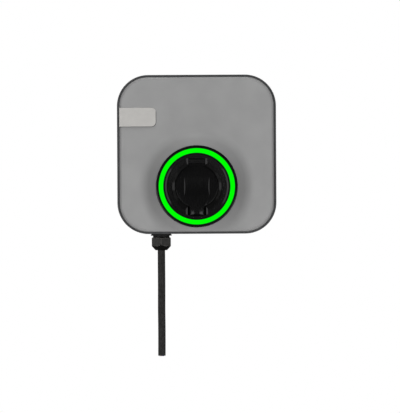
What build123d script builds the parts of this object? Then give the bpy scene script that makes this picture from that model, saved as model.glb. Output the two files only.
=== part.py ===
from build123d import *
import os
from math import cos, radians, sin, sqrt, tan

# Frame: the wall is the plane Y = 0, the box faces -Y, +Z is up.
# The origin lies on the wall at the centre of the four wall holes.
# A depth is a distance in front of the wall.

# Rear shell
housing_width = 250
housing_height = 250
housing_corner = 49
shell_wall = 3
rim_depth = 75
rear_recess = 12
back_wall = 3
ledge_drop = 9
ledge_thickness = 2
ledge_width = 6
locking_boss_wall = 1.5

# Front cover
cover_gap = 0.4
cover_wall = 2.5
cover_rise = 5
cover_edge = 5
gasket_thickness = 2
gasket_inset = 0.3
gasket_width = 4.4

# Flare of the cover round the socket
socket_rise = 74.5
flare_rise = 21
flare_rim_gap = 0.3
flare_angle = 50
flare_blend = 23.5

# Trim ring and light ring
trim_rim_width = 4.5
trim_height = 6
trim_edge = 1.6
trim_lip_width = 2.6
trim_lip_drop = 2
trim_land_width = 2.6
trim_boss_radius = 2.2
light_width = 7.3
light_height = 3
light_fit = 0.1
led_pocket = 2
led_step = 1
led_board_height = 1
led_count = 24
led_size = 2

# Lid frame
barrel_step = 8.3
barrel_gap = 0.5
barrel_wall = 3
floor_drop = 1
frame_wall = 3
floor_width = 8.7
pocket_slope_width = 3.9
seal_shelf_width = 4.6
pocket_depth = 9.5
pocket_slope_drop = 3.3
pocket_floor = 3.5
plug_radius = 30
frame_flange_width = 7.5
frame_flange_height = 3
frame_screw_inset = 1.5
frame_screw_count = 4
rib_count = 8
socket_screw_length = 7

# Lid and its hinge
lid_gap = 1.3
lid_thickness = 4
lid_edge = 0.8
lid_lift = 1
hinge_inset = 4.3
hinge_pin_radius = 1.5
pin_press = 0.02
pin_running = 0.06
knuckle_radius = 3.8
knuckle_lift = 4.2
pin_grip = 1.6
hinge_notch_deep = 26.8
hinge_notch_wide = 33.2
hinge_notch_inset = 3.5
hinge_tab_gap = 0.9
spring_room = 10
thumb_notch_deep = 23.6
thumb_notch_wide = 34.6
thumb_notch_inset = 0.4
thumb_tab_width = 22.4
thumb_tab_gap = 0.7
thumb_notch_drop = 2
notch_slope = 40
thumb_scoop_radius = 14
thumb_scoop_offset = 1.7
thumb_scoop_angle = 24
lid_scoop_width = 39.4
lid_scoop_height = 29
lid_scoop_depth = 1.2
lid_scoop_bevel = 1.3
seal_width = 2
seal_height = 0.8
seal_inner_gap = 0.8
spring_radius = 2.15
spring_wire = 0.35
spring_gap = 0.3
spring_turns = 5

# Socket behind the lid
flange_margin = 4
flange_corner = 9
flange_thickness = 3
socket_gasket_thickness = 1
socket_screw_pitch = 60
socket_wall = 4
plug_clearance = 1
recess_flat = 23.5
recess_depth = 36
socket_length = 44
carrier_base = 4.8
carrier_base_step = 2
carrier_fit = 0.2
island_radius = 23
island_flat = 18
island_inset = 1
cap_thickness = 3
power_contact_radius = 4
pilot_contact_radius = 2.4
contact_fit = 0.1
contact_wall = 1
contact_length = 32
tail_length = 14
power_tail_radius = 2.6
pilot_tail_radius = 1.4
power_row = 15.5
lower_pair = 8
lower_drop = 13.5
pilot_pair = 6.8
pilot_rise = 12.5

# Plug lock
actuator_width = 40
actuator_depth = 28
actuator_height = 28
actuator_gap = 1.5
lock_pin_radius = 2.5
lock_pin_gap = 0.3
lock_pin_depth = 72
lock_pin_length = 18
lock_pin_hold = 8
lock_pin_room = 1

# Screws
cover_screw_radius = 2
cover_screw_head = 3.4
cover_screw_head_height = 2.6
cover_screw_seat = 6
cover_screw_inset = 15
cover_corner_inset = 25
boss_radius = 5.5
cover_boss_radius = 4.5
screw_clearance = 0.2
small_screw_radius = 1.25
small_screw_head = 2.4
small_screw_head_height = 1.6
thread_gap = 0.05
screw_tip_gap = 1
small_boss_wall = 1

# Wall plate
plate_width = 170
plate_thickness = 2
plate_top = 72
plate_foot_gap = 6
wall_hole_pitch_x = 140
wall_hole_pitch_z = 110
wall_hole_radius = 3.25
hook_span = 100
hook_width = 18
hook_reach = 8
hook_height = 14
lug_width = 24
lug_wall = 2.4
lug_cap = 3
hook_gap = 0.3
lug_lip = 10
flange_reach = 11
locking_span = 120
locking_depth = 6
locking_radius = 2
locking_head = 3.8
locking_head_height = 2.4
locking_length = 10
plate_window_size = (70, 36)
plate_window_count = 3
plate_window_pitch = 55
plate_window_rise = 39
plate_corner = 8
plate_flange_inset = 8

# Gland and supply cable
gland_inset = 68.3
gland_depth = 38
thread_radius = 12.5
gland_hole_gap = 0.2
gland_washer_radius = 15.6
gland_washer_height = 1
collar_radius = 16.5
collar_height = 2
neck_height = 2.4
neck_radius = 11.6
tooth_count = 16
tooth_depth = 1.4
nut_across_flats = 30
nut_height = 20.5
nut_turn = 8
nut_dome = 5
cable_radius = 5.9
cable_drop = 192.7
cable_inside = 20
gland_bore_gap = 0.9
clamp_radius = 11
clamp_length = 12
seal_fit = 0.1
seal_radius = 9.5
nut_floor_gap = 1
nut_chamfer = 2
gland_thread_rest = 5
locknut_across_flats = 32
locknut_height = 5
core_radius = 1.5
core_circle = 3.4

# Boards and what stands on them
board_thickness = 1.6
board_gap = 5
board_side_inset = 27
board_top_inset = 21
board_foot_rise = 62.5
leg_width = 52
leg_foot_rise = 63
board_screw_inset = 8
board_boss_radius = 3.6
part_corner = 1
part_chamfer = 0.6
terminal_pitch = 9
terminal_count = 5
terminal_depth = 18
terminal_height = 20
terminal_inset = 4
relay_size = (54, 24, 20)
sensor_size = (24, 30, 18)
supply_size = (40, 30, 22)
relay_inset = (34, 25)
relay_pitch = 30
supply_inset = (48, 44)
sensor_lift = 8
chip_size = (14, 14)
chip_inset = 60
chip_shares = (0.25, 0.75)
radio_inset = (32, 22)
ribbon_inset = 20
core_rest = 8
core_entry = 8
core_bend = 6
wire_rest = 6
spacer_height = 28.4
spacer_radius = 2.8
control_inset = 10
control_width = 78
control_foot_margin = 14
radio_size = (18, 25, 3)
reader_inset = 18
reader_size = 60
reader_boss_height = 2.9
ribbon_width = 12
ribbon_thickness = 0.8
wire_radius = 1.7
pilot_wire_radius = 0.8
wire_bend = 6

# Badge
badge_left_inset = 0.2
badge_reach = 58.1
badge_foot_drop = 81.8
badge_height = 30.2
badge_corner = 7.7
badge_thickness = 1.3

# Radii about the socket axis, from the plug outwards
housing_foot = -housing_height / 2
socket_z = housing_foot + socket_rise
recess_radius = plug_radius - plug_clearance
socket_outer = recess_radius + socket_wall
carrier_base_radius = recess_radius + carrier_base_step
pocket_radius = plug_radius + seal_shelf_width
pocket_mouth = pocket_radius + pocket_slope_width
trim_foot_radius = pocket_mouth + floor_width
trim_lip_radius = trim_foot_radius + trim_lip_width
light_inner = trim_lip_radius + trim_land_width
light_outer = light_inner + light_width
trim_radius = light_outer + trim_rim_width
flare_top_radius = trim_radius + flare_rim_gap
barrel_radius = trim_foot_radius + barrel_step
frame_flange_radius = barrel_radius + frame_flange_width
frame_screw_radius = frame_flange_radius - frame_screw_inset
hinge_notch_end = trim_foot_radius - hinge_notch_inset
hinge_offset = hinge_notch_end - hinge_inset
thumb_notch_end = trim_foot_radius - thumb_notch_inset

# Depths that follow
ledge_depth = rim_depth - ledge_drop
back_front = rear_recess + back_wall
skirt_depth = ledge_depth + gasket_thickness
cover_depth = rim_depth + cover_rise
cover_inner = cover_depth - cover_wall
flare_depth = cover_depth + flare_rise
seat_depth = flare_depth - cover_wall
trim_front = flare_depth + trim_height
trim_back = flare_depth - floor_drop
frame_front = trim_back
pocket_front = frame_front - floor_drop
pocket_back = pocket_front - pocket_depth
frame_back = pocket_back - pocket_floor
lid_radius = pocket_radius - lid_gap
lid_back = pocket_back + lid_lift
lid_front = lid_back + lid_thickness
knuckle_depth = pocket_back + knuckle_lift
pin_half = hinge_notch_wide / 2 + pin_grip
flange_front = frame_back - socket_gasket_thickness
flange_back = flange_front - flange_thickness
recess_back = flange_front - recess_depth
socket_back = flange_front - socket_length
board_back = back_front + board_gap
board_front = board_back + board_thickness
control_back = board_front + spacer_height
control_front = control_back + board_thickness
reader_front = cover_inner - reader_boss_height
reader_back = reader_front - board_thickness
lug_back = hook_reach - plate_thickness - hook_gap - lug_wall
lug_seat = plate_top + hook_height
lug_top = lug_seat + lug_cap

# Outlines that follow
cover_inset = shell_wall + cover_gap
cover_width = housing_width - 2 * cover_inset
cover_height = housing_height - 2 * cover_inset
cover_corner = housing_corner - cover_inset
flange_size = 2 * (socket_outer + flange_margin)

# Places that follow
gland_x = gland_inset - housing_width / 2
plate_bottom = -housing_foot - plate_foot_gap
lowest_window = plate_window_rise - plate_bottom
plate_windows = [(0, lowest_window + i * plate_window_pitch) for i in range(plate_window_count)]
board_left = board_side_inset - housing_width / 2
board_right = housing_width / 2 - board_side_inset
board_top = housing_height / 2 - board_top_inset
board_foot = socket_z + board_foot_rise
leg_right = board_left + leg_width
leg_foot = housing_foot + leg_foot_rise
relay_x = board_left + relay_inset[0]
relay_z = board_top - relay_inset[1]
supply_place = (board_right - supply_inset[0], board_top - supply_inset[1])
sensor_x = (relay_x + relay_size[0] / 2 + supply_place[0] - supply_size[0] / 2) / 2
sensor_place = (sensor_x, (board_top + board_foot) / 2 + sensor_lift)
radio_place = (board_right - radio_inset[0], board_top - radio_inset[1])
ribbon_x = board_right - ribbon_inset
control_right = board_right - control_inset
control_left = control_right - control_width
control_top = board_top - control_inset
control_foot = board_foot + control_foot_margin
control_height = control_top - control_foot
chip_places = [(control_right - chip_inset, control_foot + control_height * share) for share in chip_shares]
reader_right = board_right - reader_inset
reader_left = reader_right - reader_size
reader_foot = (socket_z + flare_top_radius + housing_height / 2 - reader_size) / 2
reader_top = reader_foot + reader_size
badge_left = badge_left_inset - cover_width / 2
badge_right = badge_left + badge_reach
badge_foot = housing_height / 2 - badge_foot_drop

socket_axis = Axis((0, 0, socket_z), (0, -1, 0))
socket_section = Plane(origin=(0, 0, socket_z), x_dir=(1, 0, 0), z_dir=(0, 0, -1))
corner_screws = [
    (i * (housing_width / 2 - cover_corner_inset), j * (housing_height / 2 - cover_corner_inset))
    for i in (-1, 1)
    for j in (-1, 1)
]
side_screws = [(i * (housing_width / 2 - cover_screw_inset), 0) for i in (-1, 1)]
top_screw = (0, housing_height / 2 - cover_screw_inset)
cover_screw_places = [*corner_screws, *side_screws, top_screw]
socket_screw_places = [
    (i * socket_screw_pitch / 2, j * socket_screw_pitch / 2) for i in (-1, 1) for j in (-1, 1)
]

os.makedirs("parts", exist_ok=True)


def facing(depth, x=0, z=0):
    # Plane that looks away from the wall.
    return Plane(origin=(x, -depth, z), x_dir=(1, 0, 0), z_dir=(0, -1, 0))


def level(z, x=0, depth=0):
    # Plane that looks up.
    return Plane(origin=(x, -depth, z), x_dir=(1, 0, 0), z_dir=(0, 0, 1))


def edge_on(x):
    # Plane seen from the side: its first axis is the depth, its second is Z.
    return Plane(origin=(x, 0, 0), x_dir=(0, -1, 0), z_dir=(-1, 0, 0))


def outline(inset):
    # Rounded square of the housing, drawn in by a distance.
    RectangleRounded(housing_width - 2 * inset, housing_height - 2 * inset, housing_corner - inset)


def flare_shape(inset):
    # Solid of revolution of the flare; the inset draws its skin inwards.
    slope = radians(flare_angle)
    crossing = flare_top_radius + flare_rise / tan(slope)
    foot = crossing + flare_blend * tan(slope / 2)
    centre = (foot, cover_depth + flare_blend)
    skin = flare_blend + inset
    start = (foot, centre[1] - skin)
    middle = (foot - skin * sin(slope / 2), centre[1] - skin * cos(slope / 2))
    end = (foot - skin * sin(slope), centre[1] - skin * cos(slope))
    top = flare_depth - inset
    top_radius = end[0] - (top - end[1]) / tan(slope)
    with BuildPart() as shape:
        with BuildSketch(socket_section):
            with BuildLine():
                Polyline((0, skirt_depth), (foot, skirt_depth), start)
                ThreePointArc(start, middle, end)
                Polyline(end, (top_radius, top), (0, top), (0, skirt_depth))
            make_face()
        revolve(axis=socket_axis)
        with BuildSketch(facing(skirt_depth)):
            outline(cover_inset + inset)
        extrude(amount=top - skirt_depth, mode=Mode.INTERSECT)
        with BuildSketch(facing(skirt_depth)):
            outline(cover_inset + inset)
        extrude(amount=cover_depth - inset - skirt_depth)
    return shape.part


def turned(points):
    # Ring about the socket axis from its section, given as radius and depth.
    with BuildPart() as ring:
        with BuildSketch(socket_section):
            with BuildLine():
                Polyline(*points, close=True)
            make_face()
        revolve(axis=socket_axis)
    return ring.part


def flat_topped(radius, flat):
    # Circle with a level flat at the top.
    Circle(radius)
    with Locations((0, flat + radius)):
        Rectangle(2 * radius, 2 * radius, mode=Mode.SUBTRACT)


def screws(places, plane, head_radius, head_height, shaft_radius, length):
    # Group of equal screws; the plane lies under the heads and looks along the shafts.
    with BuildPart() as group:
        with BuildSketch(plane):
            with Locations(*places):
                Circle(shaft_radius)
        extrude(amount=length)
        with BuildSketch(plane):
            with Locations(*places):
                Circle(head_radius)
        extrude(amount=-head_height)
        with BuildSketch(plane.offset(-head_height)):
            with Locations(*places):
                RegularPolygon(head_radius / 2, 6)
        extrude(amount=head_height / 2, mode=Mode.SUBTRACT)
    return group


def block(plane, size, places):
    # Equal blocks with softened edges that stand on a plane.
    with BuildPart() as body:
        with BuildSketch(plane):
            with Locations(*places):
                RectangleRounded(size[0], size[1], part_corner)
        extrude(amount=size[2])
        chamfer(body.faces().sort_by(Axis.Y)[0].edges(), part_chamfer)
    return body


# Rear shell: deep dish with a recessed back wall, a ledge for the gasket and screw bosses
board_holes = [
    (board_left + board_screw_inset, board_top - board_screw_inset),
    (board_right - board_screw_inset, board_top - board_screw_inset),
    (board_right - board_screw_inset, board_foot + board_screw_inset),
    (board_left + board_screw_inset, -board_screw_inset),
    (leg_right - board_screw_inset, -board_screw_inset),
]
locking_places = [(i * locking_span / 2, -locking_depth) for i in (-1, 1)]
locking_boss_top = -plate_bottom - hook_gap
with BuildPart() as rear_shell:
    with BuildSketch(facing(0)):
        outline(0)
    extrude(amount=rim_depth)
    with BuildSketch(facing(0)):
        outline(shell_wall)
    extrude(amount=rear_recess, mode=Mode.SUBTRACT)
    with BuildSketch(facing(back_front)):
        outline(shell_wall)
    extrude(amount=rim_depth - back_front, mode=Mode.SUBTRACT)
    with BuildSketch(facing(ledge_depth)):
        outline(shell_wall / 2)
        RectangleRounded(
            housing_width - 2 * (shell_wall + ledge_width),
            housing_height - 2 * (shell_wall + ledge_width),
            housing_corner - shell_wall - ledge_width,
            mode=Mode.SUBTRACT,
        )
    extrude(amount=-ledge_thickness)
    with BuildSketch(facing(back_front)):
        with Locations(*cover_screw_places):
            Circle(boss_radius)
    extrude(amount=ledge_depth - back_front)
    with BuildSketch(facing(back_front)):
        with Locations(*[(i * (housing_width - cover_screw_inset) / 2, 0) for i in (-1, 1)]):
            Rectangle(cover_screw_inset - shell_wall / 2, shell_wall)
        with Locations((0, (housing_height - cover_screw_inset) / 2)):
            Rectangle(shell_wall, cover_screw_inset - shell_wall / 2)
    extrude(amount=ledge_depth - back_front - ledge_thickness)
    # Deep bores let the cover screws in from behind.
    with BuildSketch(facing(rear_recess)):
        with Locations(*cover_screw_places):
            Circle(cover_screw_head + screw_clearance)
    extrude(amount=ledge_depth - rear_recess - cover_screw_seat, mode=Mode.SUBTRACT)
    with BuildSketch(facing(rear_recess)):
        with Locations(*cover_screw_places):
            Circle(cover_screw_radius + screw_clearance)
    extrude(amount=ledge_depth - rear_recess, mode=Mode.SUBTRACT)
    # Short bosses carry the power board.
    with BuildSketch(facing(back_front)):
        with Locations(*board_holes):
            Circle(board_boss_radius)
    extrude(amount=board_gap)
    with BuildSketch(facing(board_back)):
        with Locations(*board_holes):
            Circle(small_screw_radius + thread_gap)
    extrude(amount=-board_gap, mode=Mode.SUBTRACT)
    # Two hooked lugs hang on the wall plate.
    for side in (-1, 1):
        with BuildSketch(edge_on(side * hook_span / 2)):
            with BuildLine():
                Polyline(
                    (rear_recess, lug_top),
                    (lug_back, lug_top),
                    (lug_back, lug_seat - lug_lip),
                    (lug_back + lug_wall, lug_seat - lug_lip),
                    (lug_back + lug_wall, lug_seat),
                    (rear_recess, lug_seat),
                    close=True,
                )
            make_face()
        extrude(amount=lug_width / 2, both=True)
    # Bosses inside the lower wall take the locking screws from below.
    with BuildSketch(level(housing_foot + shell_wall)):
        with Locations(*locking_places):
            Circle(locking_head + locking_boss_wall)
    extrude(amount=locking_boss_top - housing_foot - shell_wall)
    with BuildSketch(level(housing_foot)):
        with Locations(*locking_places):
            Circle(locking_head + screw_clearance)
    extrude(amount=locking_head_height, mode=Mode.SUBTRACT)
    with BuildSketch(level(housing_foot)):
        with Locations(*locking_places):
            Circle(locking_radius + screw_clearance)
    extrude(amount=2 * shell_wall + locking_head_height, mode=Mode.SUBTRACT)
    with BuildSketch(level(housing_foot, gland_x, gland_depth)):
        Circle(thread_radius + gland_hole_gap)
    extrude(amount=shell_wall, mode=Mode.SUBTRACT)
rear_shell.part.label = "rear_shell"
export_step(rear_shell.part, "parts/rear_shell.step")

# Front cover with the flare, the hole for the socket and its bosses
reader_places = [
    (reader_left + board_screw_inset / 2, reader_foot + board_screw_inset / 2),
    (reader_right - board_screw_inset / 2, reader_foot + board_screw_inset / 2),
    (reader_left + board_screw_inset / 2, reader_top - board_screw_inset / 2),
    (reader_right - board_screw_inset / 2, reader_top - board_screw_inset / 2),
]
frame_screw_places = [
    (frame_screw_radius * cos(radians(angle)), frame_screw_radius * sin(radians(angle)))
    for angle in [(i + 0.5) * 360 / frame_screw_count for i in range(frame_screw_count)]
]
edge_zone = cover_corner * (1 - cos(radians(45))) + cover_edge
cover_solid = flare_shape(0)
cover_hollow = flare_shape(cover_wall)
with BuildPart() as boss_tops:
    with BuildSketch(facing(cover_inner)):
        with Locations(*cover_screw_places):
            Circle(cover_boss_radius)
        with Locations(*reader_places):
            Circle(small_screw_head)
    extrude(amount=flare_depth - cover_inner)
    add(flare_shape(cover_wall / 2), mode=Mode.INTERSECT)
with BuildPart() as front_cover:
    add(cover_solid)
    side_edges = front_cover.edges().filter_by(Axis.Y, reverse=True).filter_by(
        lambda edge: edge.center().Y < -rim_depth
        and (
            abs(edge.center().X) > cover_width / 2 - edge_zone
            or abs(edge.center().Z) > cover_height / 2 - edge_zone
        )
    )
    fillet(side_edges, cover_edge)
    rounded_cover = front_cover.part
    add(cover_hollow, mode=Mode.SUBTRACT)
    with BuildSketch(facing(seat_depth, 0, socket_z)):
        Circle(barrel_radius + barrel_gap)
    extrude(amount=2 * cover_wall, mode=Mode.SUBTRACT)
    with BuildSketch(facing(seat_depth, 0, socket_z)):
        with Locations(*frame_screw_places):
            Circle(trim_boss_radius + screw_clearance)
    extrude(amount=cover_wall, mode=Mode.SUBTRACT)
    # Bosses run down from the skin, wherever it lies.
    add(boss_tops.part)
    with BuildSketch(facing(cover_inner + cover_wall / 2)):
        with Locations(*cover_screw_places):
            Circle(cover_boss_radius)
    extrude(amount=-(cover_inner + cover_wall / 2 - ledge_depth - screw_clearance))
    with BuildSketch(facing(cover_inner + cover_wall / 2)):
        with Locations(*reader_places):
            Circle(small_screw_head)
    extrude(amount=-(cover_wall / 2 + reader_boss_height))
    with BuildSketch(facing(cover_inner)):
        with Locations(*cover_screw_places):
            Circle(cover_screw_radius + thread_gap)
    extrude(amount=-(cover_inner - ledge_depth), mode=Mode.SUBTRACT)
front_cover.part.label = "front_cover"
export_step(front_cover.part, "parts/front_cover.step")

with BuildPart() as cover_gasket:
    with BuildSketch(facing(ledge_depth)):
        outline(shell_wall + gasket_inset)
        RectangleRounded(
            housing_width - 2 * (shell_wall + gasket_inset + gasket_width),
            housing_height - 2 * (shell_wall + gasket_inset + gasket_width),
            housing_corner - shell_wall - gasket_inset - gasket_width,
            mode=Mode.SUBTRACT,
        )
    extrude(amount=gasket_thickness)
cover_gasket.part.label = "cover_gasket"
export_step(cover_gasket.part, "parts/cover_gasket.step")

cover_screws = screws(
    cover_screw_places,
    facing(ledge_depth - cover_screw_seat),
    cover_screw_head,
    cover_screw_head_height,
    cover_screw_radius,
    cover_screw_seat + cover_inner - ledge_depth - screw_tip_gap,
)
cover_screws.part.label = "cover_screws"
export_step(cover_screws.part, "parts/cover_screws.step")

# Badge plate: bare plate that runs out over the rounded edge of the cover
badge_x = (badge_left + badge_right) / 2
badge_z = badge_foot + badge_height / 2
with BuildPart() as badge_plate:
    with BuildSketch(facing(cover_depth - cover_edge, badge_x, badge_z)):
        Rectangle(badge_reach, badge_height)
    extrude(amount=cover_edge + badge_thickness)
    right_edges = badge_plate.edges().filter_by(Axis.Y).group_by(Axis.X)[-1]
    fillet(right_edges, badge_corner)
    front_edges = badge_plate.faces().sort_by(Axis.Y)[0].edges()
    fillet(front_edges, badge_thickness / 3)
    add(rounded_cover, mode=Mode.SUBTRACT)
badge_plate.part.label = "badge_plate"
export_step(badge_plate.part, "parts/badge_plate.step")

# Trim ring: sits on the flare, holds the light ring in its groove
with BuildPart() as trim_ring:
    add(
        turned(
            [
                (trim_foot_radius, trim_back),
                (barrel_radius + barrel_gap / 2, trim_back),
                (barrel_radius + barrel_gap / 2, flare_depth),
                (trim_radius, flare_depth),
                (trim_radius, trim_front),
                (light_outer + light_fit, trim_front),
                (light_outer + light_fit, trim_front - light_height),
                (light_outer - led_step, trim_front - light_height),
                (light_outer - led_step, trim_front - light_height - led_pocket),
                (light_inner + led_step, trim_front - light_height - led_pocket),
                (light_inner + led_step, trim_front - light_height),
                (light_inner - light_fit, trim_front - light_height),
                (light_inner - light_fit, trim_front),
                (trim_lip_radius, trim_front),
                (trim_foot_radius, trim_front - trim_lip_drop),
            ]
        )
    )
    front_edges = trim_ring.edges().filter_by(GeomType.CIRCLE).group_by(Axis.Y)[0]
    fillet(front_edges.sort_by(SortBy.RADIUS)[-1], trim_edge)
    with BuildSketch(facing(seat_depth, 0, socket_z)):
        with Locations(*frame_screw_places):
            Circle(trim_boss_radius)
    extrude(amount=cover_wall)
    with BuildSketch(facing(seat_depth, 0, socket_z)):
        with Locations(*frame_screw_places):
            Circle(small_screw_radius - screw_clearance)
    extrude(amount=cover_wall + light_height, mode=Mode.SUBTRACT)
trim_ring.part.label = "trim_ring"
export_step(trim_ring.part, "parts/trim_ring.step")

with BuildPart() as light_ring:
    add(
        turned(
            [
                (light_inner, trim_front - light_height),
                (light_outer, trim_front - light_height),
                (light_outer, trim_front),
                (light_inner, trim_front),
            ]
        )
    )
    chamfer(light_ring.faces().sort_by(Axis.Y)[0].edges(), light_height / 10)
light_ring.part.label = "light_ring"
export_step(light_ring.part, "parts/light_ring.step")

led_floor = trim_front - light_height - led_pocket
led_middle = (light_inner + light_outer) / 2
led_board_half = (light_outer - light_inner) / 2 - led_step - light_fit
led_ring = turned(
    [
        (led_middle - led_board_half, led_floor),
        (led_middle + led_board_half, led_floor),
        (led_middle + led_board_half, led_floor + led_board_height),
        (led_middle - led_board_half, led_floor + led_board_height),
    ]
)
with BuildPart() as led_board:
    add(led_ring)
    with BuildSketch(facing(led_floor + led_board_height, 0, socket_z)):
        with PolarLocations(led_middle, led_count):
            Rectangle(led_size, led_size)
    extrude(amount=led_pocket - led_board_height - light_fit)
led_board.part.label = "led_board"
export_step(led_board.part, "parts/led_board.step")

# Lid frame: funnel, round pocket for the lid, one notch for the hinge and one for the thumb
hinge_axis_z = socket_z + hinge_offset
seal_inner = plug_radius + seal_inner_gap
seal_outer = seal_inner + seal_width
seal_rim = (seal_outer + pocket_radius) / 2
rib_inner = pocket_radius + 2 * frame_wall / 3
rib_step = pocket_mouth + frame_wall / 2
rib_outer = barrel_radius - barrel_wall / 2


def notch(deep_width, wide_width, floor, far, sign):
    # Upright pocket whose side walls slope outwards where they meet the funnel's floor.
    middle = socket_z + sign * (plug_radius + far) / 2
    slope_foot = frame_front - (wide_width - deep_width) / 2 * tan(radians(notch_slope))
    top = frame_front + floor_drop
    with BuildPart() as cut:
        with BuildSketch(level(middle - (far - plug_radius) / 2)):
            with BuildLine():
                Polyline(
                    (deep_width / 2, -floor),
                    (deep_width / 2, -slope_foot),
                    (wide_width / 2, -frame_front),
                    (wide_width / 2, -top),
                    (-wide_width / 2, -top),
                    (-wide_width / 2, -frame_front),
                    (-deep_width / 2, -slope_foot),
                    (-deep_width / 2, -floor),
                    close=True,
                )
            make_face()
        extrude(amount=far - plug_radius)
        with BuildSketch(facing(floor, 0, socket_z)):
            Circle(thumb_notch_end)
            Circle(seal_rim, mode=Mode.SUBTRACT)
        extrude(amount=2 * pocket_depth, mode=Mode.INTERSECT)
    return cut.part


def ribs(start, depth_from, depth_to):
    # Thin walls between the pocket and the barrel.
    with BuildPart() as walls:
        with BuildSketch(facing(depth_from, 0, socket_z)):
            with PolarLocations((start + rib_outer) / 2, rib_count, start_angle=180 / rib_count):
                Rectangle(rib_outer - start, frame_wall / 2)
        extrude(amount=depth_to - depth_from)
    return walls.part


hinge_notch = notch(hinge_notch_deep, hinge_notch_wide, pocket_back, hinge_notch_end, 1)
thumb_floor = pocket_back - thumb_notch_drop
thumb_notch = notch(thumb_notch_deep, thumb_notch_wide, thumb_floor, trim_foot_radius, -1)
pocket_step = pocket_front - pocket_slope_drop
lower_ribs = ribs(rib_inner, frame_back, pocket_step)
upper_ribs = ribs(rib_step, pocket_step, pocket_front - 2 * frame_wall / 3)
funnel = turned(
    [
        (plug_radius, pocket_back),
        (pocket_radius, pocket_back),
        (pocket_radius, pocket_step),
        (pocket_mouth, pocket_front),
        (trim_foot_radius, frame_front),
        (barrel_radius, frame_front),
        (barrel_radius, seat_depth),
        (frame_flange_radius, seat_depth),
        (frame_flange_radius, seat_depth - frame_flange_height),
        (barrel_radius, seat_depth - frame_flange_height),
        (barrel_radius, frame_back),
        (barrel_radius - barrel_wall, frame_back),
        (barrel_radius - barrel_wall, frame_front - frame_wall),
        (pocket_mouth + frame_wall, pocket_front - frame_wall),
        (pocket_radius + frame_wall, pocket_step),
        (pocket_radius + frame_wall, frame_back),
        (plug_radius, frame_back),
    ]
)
with BuildPart() as lid_frame:
    add(funnel)
    # Solid blocks behind the floor carry the notches and the pin.
    with BuildSketch(facing(frame_back, 0, socket_z)):
        with Locations((0, (pocket_radius + hinge_notch_end + frame_wall) / 2)):
            Rectangle(hinge_notch_wide + 2 * frame_wall, hinge_notch_end + frame_wall - pocket_radius)
        with Locations((0, -(pocket_radius + thumb_notch_end + frame_wall) / 2)):
            Rectangle(thumb_notch_wide + 2 * frame_wall, thumb_notch_end + frame_wall - pocket_radius)
        with Locations(*socket_screw_places):
            Circle(small_screw_head + small_boss_wall)
        Circle(pocket_radius + frame_wall / 2, mode=Mode.SUBTRACT)
    extrude(amount=pocket_front - floor_drop - frame_back)
    with BuildSketch(socket_section):
        with BuildLine():
            Polyline(
                (0, pocket_back),
                (pocket_radius, pocket_back),
                (pocket_radius, pocket_step),
                (pocket_mouth, pocket_front),
                (pocket_mouth, trim_front),
                (0, trim_front),
                close=True,
            )
        make_face()
    revolve(axis=socket_axis, mode=Mode.SUBTRACT)
    add(lower_ribs)
    add(upper_ribs)
    add(hinge_notch, mode=Mode.SUBTRACT)
    add(thumb_notch, mode=Mode.SUBTRACT)
    with BuildSketch(edge_on(0)):
        with Locations((knuckle_depth, hinge_axis_z)):
            Circle(hinge_pin_radius + pin_press)
    extrude(amount=pin_half, both=True, mode=Mode.SUBTRACT)
    with BuildSketch(facing(frame_back, 0, socket_z)):
        with Locations(*socket_screw_places):
            Circle(small_screw_radius + thread_gap)
    extrude(amount=socket_screw_length, mode=Mode.SUBTRACT)
    with BuildSketch(facing(seat_depth, 0, socket_z)):
        with Locations(*frame_screw_places):
            Circle(small_screw_radius + thread_gap)
    extrude(amount=-frame_flange_height, mode=Mode.SUBTRACT)
lid_frame.part.label = "lid_frame"
export_step(lid_frame.part, "parts/lid_frame.step")

frame_screws = screws(
    frame_screw_places,
    facing(seat_depth - frame_flange_height, 0, socket_z),
    small_screw_head,
    small_screw_head_height,
    small_screw_radius - screw_clearance - thread_gap,
    frame_flange_height + cover_wall + screw_tip_gap,
)
frame_screws.part.label = "frame_screws"
export_step(frame_screws.part, "parts/frame_screws.step")

# Lid: disc with a scoop, a hinge tab at the top and a thumb tab below
hinge_tab_width = hinge_notch_deep - 2 * hinge_tab_gap
hinge_tab_start = sqrt(lid_radius**2 - hinge_tab_width**2 / 4) - 2 * lid_edge
thumb_tab_start = sqrt(lid_radius**2 - thumb_tab_width**2 / 4) - 2 * lid_edge
thumb_tab_end = thumb_notch_end - thumb_tab_gap
thumb_tab_back = thumb_floor + thumb_tab_gap
spring_bore = spring_radius + spring_wire + spring_gap
scoop_bend = (lid_scoop_height**2 / 4 + lid_scoop_depth**2) / (2 * lid_scoop_depth)
thumb_lean = radians(thumb_scoop_angle)
thumb_plane = Plane(
    origin=(
        0,
        -(lid_front + thumb_scoop_radius * cos(thumb_lean)),
        socket_z - lid_radius - thumb_scoop_offset - thumb_scoop_radius * sin(thumb_lean),
    ),
    x_dir=(1, 0, 0),
    z_dir=(0, sin(thumb_lean), -cos(thumb_lean)),
)
with BuildPart() as lid_scoop:
    with BuildSketch(edge_on(0)):
        with Locations((lid_front - lid_scoop_depth + scoop_bend, socket_z)):
            Circle(scoop_bend)
    extrude(amount=lid_scoop_width / 2, both=True)
    with BuildSketch(level(socket_z)):
        with BuildLine():
            Polyline(
                (lid_scoop_width / 2 - lid_scoop_bevel, lid_scoop_depth - lid_front),
                (lid_scoop_width / 2, -lid_front),
                (-lid_scoop_width / 2, -lid_front),
                (lid_scoop_bevel - lid_scoop_width / 2, lid_scoop_depth - lid_front),
                close=True,
            )
        make_face()
    extrude(amount=lid_scoop_height, both=True, mode=Mode.INTERSECT)
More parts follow.
